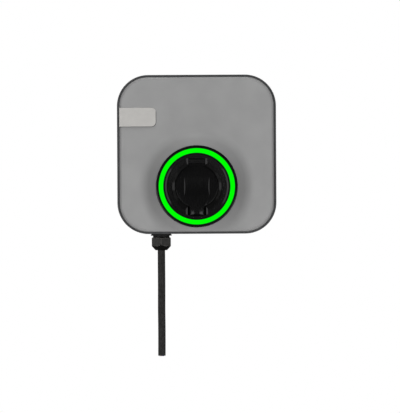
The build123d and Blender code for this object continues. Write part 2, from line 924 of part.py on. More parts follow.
with BuildPart() as lid:
    with BuildSketch(facing(lid_back, 0, socket_z)):
        Circle(lid_radius)
    extrude(amount=lid_thickness)
    fillet(lid.faces().sort_by(Axis.Y)[0].edges(), lid_edge)
    with BuildSketch(facing(lid_back, 0, socket_z)):
        with Locations((0, (hinge_tab_start + hinge_offset) / 2)):
            Rectangle(hinge_tab_width, hinge_offset - hinge_tab_start)
    extrude(amount=lid_thickness - lid_edge / 2)
    with BuildSketch(edge_on(0)):
        with Locations((knuckle_depth, hinge_axis_z)):
            Circle(knuckle_radius)
    extrude(amount=hinge_tab_width / 2, both=True)
    with BuildSketch(facing(lid_back, 0, socket_z)):
        Circle(thumb_tab_end)
        with Locations((0, -(thumb_tab_start + thumb_tab_end) / 2)):
            Rectangle(thumb_tab_width, thumb_tab_end - thumb_tab_start, mode=Mode.INTERSECT)
    extrude(amount=lid_thickness)
    with BuildSketch(facing(thumb_tab_back, 0, socket_z)):
        Circle(thumb_tab_end)
        Circle(seal_rim + thumb_tab_gap, mode=Mode.SUBTRACT)
        with Locations((0, -(thumb_tab_start + thumb_tab_end) / 2)):
            Rectangle(thumb_tab_width, thumb_tab_end - thumb_tab_start, mode=Mode.INTERSECT)
    extrude(amount=lid_front - thumb_tab_back)
    add(lid_scoop.part, mode=Mode.SUBTRACT)
    with BuildSketch(thumb_plane):
        Circle(thumb_scoop_radius)
    extrude(amount=2 * thumb_scoop_radius, both=True, mode=Mode.SUBTRACT)
    # The spring sits round the pin in a slot that opens at the back of the hinge tab.
    with BuildSketch(edge_on(0)):
        with Locations((knuckle_depth, hinge_axis_z)):
            Circle(spring_bore)
        with Locations((knuckle_depth - knuckle_radius, hinge_axis_z)):
            Rectangle(2 * knuckle_radius, 2 * spring_bore)
    extrude(amount=spring_room / 2, both=True, mode=Mode.SUBTRACT)
    with BuildSketch(edge_on(0)):
        with Locations((knuckle_depth, hinge_axis_z)):
            Circle(hinge_pin_radius + pin_running)
    extrude(amount=hinge_tab_width, both=True, mode=Mode.SUBTRACT)
lid.part.label = "lid"
export_step(lid.part, "parts/lid.step")

lid_seal = turned(
    [
        (seal_inner, lid_back - seal_height),
        (seal_outer, lid_back - seal_height),
        (seal_outer, lid_back),
        (seal_inner, lid_back),
    ]
)
lid_seal.label = "lid_seal"
export_step(lid_seal, "parts/lid_seal.step")

with BuildPart() as lid_pin:
    with BuildSketch(edge_on(0)):
        with Locations((knuckle_depth, hinge_axis_z)):
            Circle(hinge_pin_radius)
    extrude(amount=pin_half, both=True)
lid_pin.part.label = "lid_pin"
export_step(lid_pin.part, "parts/lid_pin.step")

# Torsion spring: a helix round the pin with two short legs
spring_half = spring_room / 2 - 3 * spring_wire
spring_pitch = 2 * spring_half / spring_turns
with BuildPart() as lid_spring:
    with BuildLine():
        coil = Helix(
            pitch=spring_pitch,
            height=2 * spring_half,
            radius=spring_radius,
            center=(-spring_half, -knuckle_depth, hinge_axis_z),
            direction=(1, 0, 0),
        )
    with BuildSketch(Plane(origin=coil @ 0, z_dir=coil % 0)):
        Circle(spring_wire)
    sweep()
lid_spring.part.label = "lid_spring"
export_step(lid_spring.part, "parts/lid_spring.step")

# Socket housing: flange, tube and recess with a flat top
with BuildPart() as socket_housing:
    with BuildSketch(facing(flange_back, 0, socket_z)):
        RectangleRounded(flange_size, flange_size, flange_corner)
    extrude(amount=flange_thickness)
    with BuildSketch(facing(socket_back, 0, socket_z)):
        Circle(socket_outer)
    extrude(amount=flange_front - socket_back)
    with BuildSketch(facing(recess_back, 0, socket_z)):
        flat_topped(recess_radius, recess_flat)
    extrude(amount=recess_depth, mode=Mode.SUBTRACT)
    with BuildSketch(facing(socket_back, 0, socket_z)):
        Circle(carrier_base_radius + carrier_fit)
    extrude(amount=recess_back - socket_back, mode=Mode.SUBTRACT)
    with BuildSketch(facing(flange_back, 0, socket_z)):
        with Locations(*socket_screw_places):
            Circle(small_screw_radius + screw_clearance)
    extrude(amount=flange_thickness, mode=Mode.SUBTRACT)
    with BuildSketch(level(socket_z, 0, lock_pin_depth)):
        Circle(lock_pin_radius + lock_pin_gap)
    extrude(amount=2 * socket_outer, mode=Mode.SUBTRACT)
socket_housing.part.label = "socket_housing"
export_step(socket_housing.part, "parts/socket_housing.step")

with BuildPart() as socket_gasket:
    with BuildSketch(facing(flange_front, 0, socket_z)):
        RectangleRounded(flange_size, flange_size, flange_corner)
        Circle(plug_radius, mode=Mode.SUBTRACT)
        with Locations(*socket_screw_places):
            Circle(small_screw_radius + screw_clearance, mode=Mode.SUBTRACT)
    extrude(amount=socket_gasket_thickness)
socket_gasket.part.label = "socket_gasket"
export_step(socket_gasket.part, "parts/socket_gasket.step")

socket_screws = screws(
    socket_screw_places,
    facing(flange_back, 0, socket_z),
    small_screw_head,
    small_screw_head_height,
    small_screw_radius,
    flange_thickness + socket_gasket_thickness + socket_screw_length - screw_tip_gap,
)
socket_screws.part.label = "socket_screws"
export_step(socket_screws.part, "parts/socket_screws.step")

# Contacts: two pilots above, the neutral and first phase beside the earth, two phases below
contact_places = {
    "contact_pe": (0, 0),
    "contact_l1": (-power_row, 0),
    "contact_n": (power_row, 0),
    "contact_l2": (-lower_pair, -lower_drop),
    "contact_l3": (lower_pair, -lower_drop),
    "contact_pp": (-pilot_pair, pilot_rise),
    "contact_cp": (pilot_pair, pilot_rise),
}
pilots = ("contact_pp", "contact_cp")
carrier_back = recess_back - carrier_base
island_front = flange_front - island_inset
contact_front = island_front - island_inset
contact_back = contact_front - contact_length
power_places = [place for name, place in contact_places.items() if name not in pilots]
pilot_places = [contact_places[name] for name in pilots]
with BuildPart() as contact_carrier:
    with BuildSketch(facing(carrier_back, 0, socket_z)):
        Circle(carrier_base_radius)
    extrude(amount=carrier_base)
    with BuildSketch(facing(recess_back, 0, socket_z)):
        flat_topped(island_radius, island_flat)
    extrude(amount=island_front - recess_back)
    chamfer(contact_carrier.faces().sort_by(Axis.Y)[0].edges(), island_inset)
    for places, tube, tail in (
        (power_places, power_contact_radius, power_tail_radius),
        (pilot_places, pilot_contact_radius, pilot_tail_radius),
    ):
        with BuildSketch(facing(contact_back, 0, socket_z)):
            with Locations(*places):
                Circle(tube + contact_fit)
        extrude(amount=contact_length + 2 * island_inset, mode=Mode.SUBTRACT)
        with BuildSketch(facing(carrier_back, 0, socket_z)):
            with Locations(*places):
                Circle(tail + contact_fit)
        extrude(amount=contact_back - carrier_back, mode=Mode.SUBTRACT)
contact_carrier.part.label = "contact_carrier"
export_step(contact_carrier.part, "parts/contact_carrier.step")

with BuildPart() as socket_rear_cap:
    with BuildSketch(facing(carrier_back, 0, socket_z)):
        Circle(carrier_base_radius)
        with Locations(*power_places):
            Circle(power_tail_radius + contact_fit, mode=Mode.SUBTRACT)
        with Locations(*pilot_places):
            Circle(pilot_tail_radius + contact_fit, mode=Mode.SUBTRACT)
    extrude(amount=-cap_thickness)
socket_rear_cap.part.label = "socket_rear_cap"
export_step(socket_rear_cap.part, "parts/socket_rear_cap.step")

tail_back = contact_back - tail_length
for name, (x, z) in contact_places.items():
    tube = pilot_contact_radius if name in pilots else power_contact_radius
    tail = pilot_tail_radius if name in pilots else power_tail_radius
    with BuildPart() as contact:
        with BuildSketch(facing(contact_back, x, socket_z + z)):
            Circle(tube)
        extrude(amount=contact_length)
        with BuildSketch(facing(contact_front, x, socket_z + z)):
            Circle(tube - contact_wall)
        extrude(amount=-(contact_length - 2 * contact_wall), mode=Mode.SUBTRACT)
        with BuildSketch(facing(tail_back, x, socket_z + z)):
            Circle(tail)
        extrude(amount=tail_length)
    contact.part.label = name
    export_step(contact.part, f"parts/{name}.step")

# Plug lock: actuator on the flange's back, above the socket, and its pin
actuator_foot = socket_z + socket_outer + actuator_gap
lock_pin_top = actuator_foot + lock_pin_hold
with BuildPart() as lock_actuator:
    with BuildSketch(facing(flange_back, 0, actuator_foot + actuator_height / 2)):
        RectangleRounded(actuator_width, actuator_height, flange_thickness)
    extrude(amount=-actuator_depth)
    chamfer(lock_actuator.faces().sort_by(Axis.Y)[-1].edges(), flange_thickness / 3)
    with BuildSketch(level(actuator_foot, 0, lock_pin_depth)):
        Circle(lock_pin_radius + pin_running)
    extrude(amount=lock_pin_hold + lock_pin_room, mode=Mode.SUBTRACT)
lock_actuator.part.label = "lock_actuator"
export_step(lock_actuator.part, "parts/lock_actuator.step")

with BuildPart() as lock_pin:
    with BuildSketch(level(lock_pin_top, 0, lock_pin_depth)):
        Circle(lock_pin_radius)
    extrude(amount=-lock_pin_length)
    chamfer(lock_pin.faces().sort_by(Axis.Z)[0].edges(), lock_pin_radius / 3)
lock_pin.part.label = "lock_pin"
export_step(lock_pin.part, "parts/lock_pin.step")

# Wall plate: folded sheet with two hooks above and a flange below
plate_height = plate_top + plate_bottom
with BuildPart() as wall_plate:
    with BuildSketch(facing(0, 0, (plate_top - plate_bottom) / 2)):
        RectangleRounded(plate_width, plate_height, plate_corner)
    extrude(amount=plate_thickness)
    with BuildSketch(facing(0)):
        with GridLocations(wall_hole_pitch_x, wall_hole_pitch_z, 2, 2):
            Circle(wall_hole_radius)
        with Locations(*plate_windows):
            RectangleRounded(*plate_window_size, wall_hole_radius)
    extrude(amount=plate_thickness, mode=Mode.SUBTRACT)
    for side in (-1, 1):
        with BuildSketch(edge_on(side * hook_span / 2)):
            with BuildLine():
                Polyline(
                    (0, plate_top - plate_thickness),
                    (hook_reach, plate_top - plate_thickness),
                    (hook_reach, plate_top + hook_height),
                    (hook_reach - plate_thickness, plate_top + hook_height),
                    (hook_reach - plate_thickness, plate_top),
                    (0, plate_top),
                    close=True,
                )
            make_face()
        extrude(amount=hook_width / 2, both=True)
    with BuildSketch(level(-plate_bottom, 0, flange_reach / 2)):
        Rectangle(plate_width - 2 * plate_flange_inset, flange_reach)
    extrude(amount=plate_thickness)
    with BuildSketch(level(-plate_bottom)):
        with Locations(*locking_places):
            Circle(locking_radius + thread_gap)
    extrude(amount=plate_thickness, mode=Mode.SUBTRACT)
wall_plate.part.label = "wall_plate"
export_step(wall_plate.part, "parts/wall_plate.step")

locking_screws = screws(
    locking_places,
    level(housing_foot + locking_head_height),
    locking_head,
    locking_head_height,
    locking_radius,
    locking_length,
)
locking_screws.part.label = "locking_screws"
export_step(locking_screws.part, "parts/locking_screws.step")

# Cable gland: washer, body with a ratchet neck, clamping seal, domed nut and lock nut
gland_bore = cable_radius + gland_bore_gap
washer_foot = housing_foot - gland_washer_height
collar_foot = washer_foot - collar_height
neck_foot = collar_foot - neck_height
clamp_foot = neck_foot - clamp_length
nut_foot = neck_foot - nut_height
inner_end = housing_foot + shell_wall + locknut_height + gland_thread_rest


def gland_level(z):
    return level(z, gland_x, gland_depth)


with BuildPart() as gland_washer:
    with BuildSketch(gland_level(housing_foot)):
        Circle(gland_washer_radius)
        Circle(thread_radius + gland_hole_gap, mode=Mode.SUBTRACT)
    extrude(amount=-gland_washer_height)
gland_washer.part.label = "gland_washer"
export_step(gland_washer.part, "parts/gland_washer.step")

with BuildPart() as gland_body:
    with BuildSketch(gland_level(collar_foot)):
        Circle(thread_radius)
    extrude(amount=inner_end - collar_foot)
    with BuildSketch(gland_level(washer_foot)):
        Circle(collar_radius)
    extrude(amount=-collar_height)
    with BuildSketch(gland_level(collar_foot)):
        Circle(neck_radius)
        with PolarLocations(neck_radius, tooth_count):
            Rectangle(2 * tooth_depth, 2 * tooth_depth)
    extrude(amount=-neck_height)
    with BuildSketch(gland_level(neck_foot)):
        Circle(clamp_radius)
    extrude(amount=-clamp_length)
    with BuildSketch(gland_level(clamp_foot)):
        Circle(gland_bore)
    extrude(amount=inner_end - clamp_foot, mode=Mode.SUBTRACT)
    with BuildSketch(gland_level(clamp_foot)):
        Circle(seal_radius + seal_fit)
    extrude(amount=clamp_length, mode=Mode.SUBTRACT)
gland_body.part.label = "gland_body"
export_step(gland_body.part, "parts/gland_body.step")

with BuildPart() as gland_seal:
    with BuildSketch(gland_level(neck_foot)):
        Circle(seal_radius)
        Circle(cable_radius + seal_fit, mode=Mode.SUBTRACT)
    extrude(amount=-(clamp_length + nut_floor_gap))
gland_seal.part.label = "gland_seal"
export_step(gland_seal.part, "parts/gland_seal.step")

# The nut is a hexagon cut by a cone above and a dome below.
nut_corner = nut_across_flats / sqrt(3)
dome_step = nut_dome * (1 - cos(radians(45)))
nut_section = Plane(origin=(gland_x, -gland_depth, 0), x_dir=(1, 0, 0), z_dir=(0, -1, 0))
with BuildPart() as gland_nut:
    with BuildSketch(gland_level(neck_foot)):
        RegularPolygon(nut_corner, 6, rotation=30 + nut_turn)
    extrude(amount=-nut_height)
    with BuildSketch(nut_section):
        with BuildLine():
            Polyline(
                (0, neck_foot),
                (nut_across_flats / 2 - nut_chamfer, neck_foot),
                (nut_corner, neck_foot - nut_chamfer),
                (nut_corner, nut_foot + nut_dome),
            )
            ThreePointArc(
                (nut_corner, nut_foot + nut_dome),
                (nut_corner - dome_step, nut_foot + dome_step),
                (nut_corner - nut_dome, nut_foot),
            )
            Polyline((nut_corner - nut_dome, nut_foot), (0, nut_foot), (0, neck_foot))
        make_face()
    revolve(axis=Axis((gland_x, -gland_depth, 0), (0, 0, 1)), mode=Mode.INTERSECT)
    with BuildSketch(gland_level(neck_foot)):
        Circle(clamp_radius + seal_fit)
    extrude(amount=-(clamp_length + nut_floor_gap), mode=Mode.SUBTRACT)
    with BuildSketch(gland_level(neck_foot)):
        Circle(cable_radius + gland_bore_gap / 2)
    extrude(amount=-nut_height, mode=Mode.SUBTRACT)
gland_nut.part.label = "gland_nut"
export_step(gland_nut.part, "parts/gland_nut.step")

with BuildPart() as gland_locknut:
    with BuildSketch(gland_level(housing_foot + shell_wall)):
        RegularPolygon(locknut_across_flats / sqrt(3), 6)
        Circle(thread_radius + thread_gap, mode=Mode.SUBTRACT)
    extrude(amount=locknut_height)
gland_locknut.part.label = "gland_locknut"
export_step(gland_locknut.part, "parts/gland_locknut.step")

# Supply cable: straight, from inside the housing down to its square cut end
cable_top = housing_foot + cable_inside
cable_foot = housing_foot - cable_drop
with BuildPart() as supply_cable:
    with BuildSketch(gland_level(cable_top)):
        Circle(cable_radius)
    extrude(amount=cable_foot - cable_top)
supply_cable.part.label = "supply_cable"
export_step(supply_cable.part, "parts/supply_cable.step")


def run_of_wire(points, radius, bend):
    # Round wire along straight runs joined by tangent arcs.
    with BuildPart() as wire:
        with BuildLine():
            path = FilletPolyline(*points, radius=bend)
        with BuildSketch(Plane(origin=path @ 0, z_dir=path % 0)):
            Circle(radius)
        sweep()
    return wire


# Power board: an L whose leg reaches down to the terminals beside the gland
terminal_width = terminal_count * terminal_pitch
terminal_x = (board_left + leg_right) / 2
terminal_z = leg_foot + terminal_inset + terminal_depth / 2
with BuildPart() as power_board:
    with BuildSketch(facing(board_back)):
        with BuildLine():
            Polyline(
                (board_left, board_top),
                (board_right, board_top),
                (board_right, board_foot),
                (leg_right, board_foot),
                (leg_right, leg_foot),
                (board_left, leg_foot),
                close=True,
            )
        make_face()
        with Locations(*board_holes):
            Circle(small_screw_radius + screw_clearance, mode=Mode.SUBTRACT)
        with Locations(*cover_screw_places):
            Circle(boss_radius + cover_gap, mode=Mode.SUBTRACT)
    extrude(amount=board_thickness)
power_board.part.label = "power_board"
export_step(power_board.part, "parts/power_board.step")

# Screws with their heads on the board point back into the shell's bosses.
board_screw_plane = Plane(origin=(0, -board_front, 0), x_dir=(1, 0, 0), z_dir=(0, 1, 0))
board_screws = screws(
    [(x, -z) for x, z in board_holes],
    board_screw_plane,
    small_screw_head,
    small_screw_head_height,
    small_screw_radius,
    board_thickness + board_gap - screw_tip_gap / 2,
)
board_screws.part.label = "board_screws"
export_step(board_screws.part, "parts/board_screws.step")

terminal_places = [
    (terminal_x + (i - (terminal_count - 1) / 2) * terminal_pitch, terminal_z) for i in range(terminal_count)
]
core_depth = board_front + core_entry
with BuildPart() as terminal_block:
    with BuildSketch(facing(board_front)):
        with Locations((terminal_x, terminal_z)):
            Rectangle(terminal_width, terminal_depth)
    extrude(amount=terminal_height)
    front_rims = terminal_block.faces().sort_by(Axis.Y)[0].edges().filter_by(Axis.X)
    chamfer(front_rims, terminal_inset)
    with BuildSketch(level(terminal_z - terminal_depth / 2)):
        with Locations(*[(x, -core_depth) for x, z in terminal_places]):
            Circle(core_radius + contact_fit)
    extrude(amount=terminal_depth / 2, mode=Mode.SUBTRACT)
    with BuildSketch(facing(board_front + terminal_height)):
        with Locations(*terminal_places):
            Circle(cover_screw_radius + screw_clearance)
    extrude(amount=-terminal_height / 3, mode=Mode.SUBTRACT)
terminal_block.part.label = "terminal_block"
export_step(terminal_block.part, "parts/terminal_block.step")

with BuildPart() as terminal_screws:
    with BuildSketch(facing(board_front + terminal_height * 2 / 3)):
        with Locations(*terminal_places):
            Circle(cover_screw_radius)
    extrude(amount=terminal_height / 4)
    with BuildSketch(facing(board_front + terminal_height * 11 / 12)):
        with Locations(*terminal_places):
            Rectangle(2 * cover_screw_radius, small_screw_radius / 2)
    extrude(amount=-terminal_height / 12, mode=Mode.SUBTRACT)
terminal_screws.part.label = "terminal_screws"
export_step(terminal_screws.part, "parts/terminal_screws.step")

for i, name in enumerate(("relay_l1_l2", "relay_l3_n")):
    relay = block(facing(board_front), relay_size, [(relay_x, relay_z - i * relay_pitch)])
    relay.part.label = name
    export_step(relay.part, f"parts/{name}.step")

supply_module = block(facing(board_front), supply_size, [supply_place])
supply_module.part.label = "supply_module"
export_step(supply_module.part, "parts/supply_module.step")

with BuildPart() as current_sensor:
    with BuildSketch(facing(board_front, *sensor_place)):
        RectangleRounded(sensor_size[0], sensor_size[1], terminal_inset)
        Circle(sensor_size[0] / 4, mode=Mode.SUBTRACT)
    extrude(amount=sensor_size[2])
current_sensor.part.label = "current_sensor"
export_step(current_sensor.part, "parts/current_sensor.step")

spacer_places = [
    (x, z)
    for x in (control_left + board_screw_inset, control_right - board_screw_inset)
    for z in (control_foot + board_screw_inset, control_top - board_screw_inset)
]
with BuildPart() as board_spacers:
    with BuildSketch(facing(board_front)):
        with Locations(*spacer_places):
            RegularPolygon(spacer_radius, 6)
    extrude(amount=spacer_height)
board_spacers.part.label = "board_spacers"
export_step(board_spacers.part, "parts/board_spacers.step")

control_x = (control_left + control_right) / 2
control_z = (control_foot + control_top) / 2
with BuildPart() as control_board:
    with BuildSketch(facing(control_back, control_x, control_z)):
        Rectangle(control_width, control_height)
    extrude(amount=board_thickness)
    with BuildSketch(facing(control_front)):
        with Locations(*chip_places):
            Rectangle(*chip_size)
    extrude(amount=board_thickness)
control_board.part.label = "control_board"
export_step(control_board.part, "parts/control_board.step")

radio_module = block(facing(control_front), radio_size, [radio_place])
radio_module.part.label = "radio_module"
export_step(radio_module.part, "parts/radio_module.step")

reader_x = (reader_left + reader_right) / 2
reader_z = (reader_foot + reader_top) / 2
with BuildPart() as rfid_board:
    with BuildSketch(facing(reader_back, reader_x, reader_z)):
        RectangleRounded(reader_right - reader_left, reader_top - reader_foot, small_screw_head)
    extrude(amount=board_thickness)
rfid_board.part.label = "rfid_board"
export_step(rfid_board.part, "parts/rfid_board.step")

# Ribbon cable: flat strip in a step between the control board and the reader board
ribbon_half = (reader_back - control_front) / 2
with BuildPart() as ribbon_cable:
    with BuildSketch(level(control_z - ribbon_width / 2)):
        with BuildLine():
            FilletPolyline(
                (ribbon_x, -control_front),
                (ribbon_x, -(control_front + ribbon_half)),
                (ribbon_x - 2 * ribbon_half, -(control_front + ribbon_half)),
                (ribbon_x - 2 * ribbon_half, -reader_back),
                radius=ribbon_half / 2,
            )
        trace(line_width=ribbon_thickness)
    extrude(amount=ribbon_width)
ribbon_cable.part.label = "ribbon_cable"
export_step(ribbon_cable.part, "parts/ribbon_cable.step")

# Wires from the foot of the power board down behind the socket and forward to the contact tails
wire_top = board_foot + wire_rest
wire_depth = board_front + wire_radius
pilot_depth = wire_depth + 2 * wire_radius + 2 * pilot_wire_radius
for name, (x, z) in contact_places.items():
    if name in pilots:
        continue
    route = [
        (x, -wire_depth, wire_top),
        (x, -wire_depth, socket_z + z),
        (x, -tail_back, socket_z + z),
    ]
    wire = run_of_wire(route, wire_radius, wire_bend)
    label = name.replace("contact", "wire")
    wire.part.label = label
    export_step(wire.part, f"parts/{label}.step")
with BuildPart() as pilot_wires:
    for name in pilots:
        x, z = contact_places[name]
        route = [
            (x, -board_front, wire_top + wire_bend),
            (x, -pilot_depth, wire_top + wire_bend),
            (x, -pilot_depth, socket_z + z),
            (x, -tail_back, socket_z + z),
        ]
        add(run_of_wire(route, pilot_wire_radius, wire_bend / 3).part)
pilot_wires.part.label = "pilot_wires"
export_step(pilot_wires.part, "parts/pilot_wires.step")

# Cores fan out from the end of the cable's sheath to the terminals
core_names = ("core_l1", "core_l2", "core_l3", "core_n", "core_pe")
core_turns = sorted([radians(i * 360 / terminal_count) for i in range(terminal_count)], key=cos)
for i, name in enumerate(core_names):
    turn = core_turns[i]
    start_x = gland_x + core_circle * cos(turn)
    start_depth = gland_depth + core_circle * sin(turn)
    end_x = terminal_places[i][0]
    terminal_foot = terminal_z - terminal_depth / 2
    route = [
        (start_x, -start_depth, cable_top),
        (start_x, -start_depth, cable_top + core_rest),
        (end_x, -core_depth, terminal_foot - core_rest),
        (end_x, -core_depth, terminal_foot + terminal_depth / 3),
    ]
    core = run_of_wire(route, core_radius, core_bend)
    core.part.label = name
    export_step(core.part, f"parts/{name}.step")
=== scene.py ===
import math
import bpy
import bmesh
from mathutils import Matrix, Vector


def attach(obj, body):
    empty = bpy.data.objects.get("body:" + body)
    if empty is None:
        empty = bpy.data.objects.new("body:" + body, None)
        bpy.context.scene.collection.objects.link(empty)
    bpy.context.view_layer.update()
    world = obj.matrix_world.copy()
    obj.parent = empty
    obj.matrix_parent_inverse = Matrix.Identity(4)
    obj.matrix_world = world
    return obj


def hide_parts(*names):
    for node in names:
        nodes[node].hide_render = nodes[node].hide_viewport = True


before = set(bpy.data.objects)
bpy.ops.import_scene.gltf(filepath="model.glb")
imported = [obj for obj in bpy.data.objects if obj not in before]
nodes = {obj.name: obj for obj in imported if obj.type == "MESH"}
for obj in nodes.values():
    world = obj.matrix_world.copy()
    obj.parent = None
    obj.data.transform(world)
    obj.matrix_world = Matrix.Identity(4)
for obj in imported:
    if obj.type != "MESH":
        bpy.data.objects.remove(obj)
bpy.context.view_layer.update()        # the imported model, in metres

print("frame loaded:", len(nodes), "nodes")

# camera

photoView = {
    "pixelSize": 0.001572,       # metres on the housing rim for one pixel of the picture
    "pictureHeight": 413,
    "aim": (0.0048, -0.0821),    # x and z that the middle of the picture looks at
    "rimDepth": 0.075,           # the pixel size holds at this distance from the wall
    "lens": 300,
    "sensor": 36,
    "roll": 0.3,                 # degrees, the housing's right side stands a little high
}


def placeCamera(look):
    data = bpy.data.cameras.new("pictureCamera")
    data.lens = look["lens"]
    data.sensor_width = look["sensor"]
    data.clip_start = 0.1
    data.clip_end = 40
    distance = look["pixelSize"] * look["pictureHeight"] * look["lens"] / look["sensor"]
    camera = bpy.data.objects.new("pictureCamera", data)
    bpy.context.scene.collection.objects.link(camera)
    camera.location = (look["aim"][0], -look["rimDepth"] - distance, look["aim"][1])
    camera.rotation_euler = (math.radians(90), math.radians(look["roll"]), 0)
    bpy.context.scene.camera = camera


placeCamera(photoView)
print("camera placed")


# shared helpers

def addNode(tree, kind, settings=None, values=None):
    node = tree.nodes.new(kind)
    for key, value in (settings or {}).items():
        setattr(node, key, value)
    for key, value in (values or {}).items():
        node.inputs[key].default_value = value
    return node


def onPiece(tree, kind, settings=None, values=None):
    # a node that is laid out in the piece's own coordinates
    node = addNode(tree, kind, settings, values)
    place = tree.nodes.new("ShaderNodeTexCoord")
    tree.links.new(place.outputs["Object"], node.inputs["Vector"])
    return node


def addBump(tree, shader, height, strength, distance):
    bump = addNode(tree, "ShaderNodeBump", None, {"Strength": strength, "Distance": distance})
    tree.links.new(height, bump.inputs["Height"])
    tree.links.new(bump.outputs["Normal"], shader.inputs["Normal"])


def tidyNodes(tree):
    # spreads the nodes in columns, so that the tree can be read in the editor
    for place, node in enumerate(tree.nodes):
        node.location = (220 * (place // 4), -260 * (place % 4))


def groupTree(name, inputs, outputs):
    tree = bpy.data.node_groups.new(name, "ShaderNodeTree")
    for label, value in inputs:
        socket = tree.interface.new_socket(label, in_out="INPUT", socket_type="NodeSocketFloat")
        socket.default_value = value
    for label in outputs:
        tree.interface.new_socket(label, in_out="OUTPUT", socket_type="NodeSocketFloat")
    return tree, tree.nodes.new("NodeGroupInput"), tree.nodes.new("NodeGroupOutput")


def measure(tree, operation, first, second=None, clamp=False):
    # one Math node; an operand is a number or a socket
    node = addNode(tree, "ShaderNodeMath", {"operation": operation, "use_clamp": clamp})
    for place, operand in enumerate((first, second)):
        if operand is None:
            continue
        if isinstance(operand, (int, float)):
            node.inputs[place].default_value = operand
        else:
            tree.links.new(operand, node.inputs[place])
    return node.outputs[0]


# effects that finishes share

effectRules = {
    "pebbleShare": 0.6,          # weight of the pebbles beside the soft grain
    "edgeGain": 4.0,             # how fast the turn of an edge becomes the edge tone: wear, and on the gland nut a painted highlight
    "breakScale": 260.0, "breakGain": 2.0,
    "dustSlope": 0.25,           # dust lies where the normal's upward part is above this
}


def buildMouldGrain():
    # fine pebble of a moulding tool, and a slow mottle over the whole piece
    tree, given, result = groupTree(
        "mouldGrain", [("Grain Size", 0.0006), ("Mottle Size", 0.02)], ["Height", "Mottle"])
    place = tree.nodes.new("ShaderNodeTexCoord")
    fine = addNode(tree, "ShaderNodeTexVoronoi", {"feature": "SMOOTH_F1"}, {"Smoothness": 0.6})
    soft = addNode(tree, "ShaderNodeTexNoise", None, {"Detail": 3.0, "Roughness": 0.6})
    slow = addNode(tree, "ShaderNodeTexNoise", None, {"Detail": 2.0, "Roughness": 0.5})
    fineScale = measure(tree, "DIVIDE", 1.0, given.outputs["Grain Size"])
    slowScale = measure(tree, "DIVIDE", 1.0, given.outputs["Mottle Size"])
    for node, scale in ((fine, fineScale), (soft, fineScale), (slow, slowScale)):
        tree.links.new(place.outputs["Object"], node.inputs["Vector"])
        tree.links.new(scale, node.inputs["Scale"])
    pebble = measure(tree, "MULTIPLY", fine.outputs["Distance"], effectRules["pebbleShare"])
    tree.links.new(measure(tree, "ADD", pebble, soft.outputs["Fac"]), result.inputs["Height"])
    tree.links.new(slow.outputs["Fac"], result.inputs["Mottle"])
    tidyNodes(tree)
    return tree


def buildEdgeWear():
    # mask along the edges, broken up by a noise: worn edges, and on the gland nut a painted highlight
    tree, given, result = groupTree("edgeWear", [("Edge Width", 0.0006), ("Break Up", 0.5)], ["Wear"])
    rounded = addNode(tree, "ShaderNodeBevel", {"samples": 4})
    tree.links.new(given.outputs["Edge Width"], rounded.inputs["Radius"])
    surface = tree.nodes.new("ShaderNodeNewGeometry")
    turn = addNode(tree, "ShaderNodeVectorMath", {"operation": "DOT_PRODUCT"})
    tree.links.new(rounded.outputs["Normal"], turn.inputs[0])
    tree.links.new(surface.outputs["Normal"], turn.inputs[1])
    turned = measure(tree, "SUBTRACT", 1.0, turn.outputs["Value"])
    sharp = measure(tree, "MULTIPLY", turned, effectRules["edgeGain"], True)
    noise = onPiece(tree, "ShaderNodeTexNoise", None, {"Scale": effectRules["breakScale"], "Detail": 4.0})
    patches = measure(tree, "MULTIPLY", noise.outputs["Fac"], effectRules["breakGain"])
    broken = measure(tree, "SUBTRACT", patches, given.outputs["Break Up"], True)
    tree.links.new(measure(tree, "MULTIPLY", sharp, broken, True), result.inputs["Wear"])
    tidyNodes(tree)
    return tree


def buildRestingDust():
    # faint dust on what faces up
    tree, given, result = groupTree("restingDust", [("Amount", 0.2), ("Speck Size", 0.004)], ["Dust"])
    surface = tree.nodes.new("ShaderNodeNewGeometry")
    split = tree.nodes.new("ShaderNodeSeparateXYZ")
    tree.links.new(surface.outputs["Normal"], split.inputs[0])
    upward = measure(tree, "SUBTRACT", split.outputs["Z"], effectRules["dustSlope"], True)
    noise = onPiece(tree, "ShaderNodeTexNoise", None, {"Detail": 5.0, "Roughness": 0.7})
    tree.links.new(measure(tree, "DIVIDE", 1.0, given.outputs["Speck Size"]), noise.inputs["Scale"])
    mask = measure(tree, "MULTIPLY", upward, noise.outputs["Fac"])
    tree.links.new(measure(tree, "MULTIPLY", mask, given.outputs["Amount"], True), result.inputs["Dust"])
    tidyNodes(tree)
    return tree


mouldGrain = buildMouldGrain()
edgeWear = buildEdgeWear()
restingDust = buildRestingDust()


def placeEffect(tree, effect, values):
    node = tree.nodes.new("ShaderNodeGroup")
    node.node_tree = effect
    for key, value in values.items():
        node.inputs[key].default_value = value
    return node


def blendColours(tree, mask, low, high):
    # mixes two colours by a mask; each is a colour or a socket
    node = addNode(tree, "ShaderNodeMix", {"data_type": "RGBA"})
    tree.links.new(mask, node.inputs[0])
    for place, colour in ((6, low), (7, high)):
        if isinstance(colour, tuple):
            node.inputs[place].default_value = (*colour, 1)
        else:
            tree.links.new(colour, node.inputs[place])
    return node.outputs[2]


def spread(tree, value, low, high, fromLow=0.3, fromHigh=0.7):
    node = addNode(tree, "ShaderNodeMapRange", None, {
        "From Min": fromLow, "From Max": fromHigh, "To Min": low, "To Max": high})
    tree.links.new(value, node.inputs["Value"])
    return node.outputs["Result"]


def newFinish(name):
    material = bpy.data.materials.new(name)
    material.use_nodes = True
    tree = material.node_tree
    return material, tree, tree.nodes["Principled BSDF"]


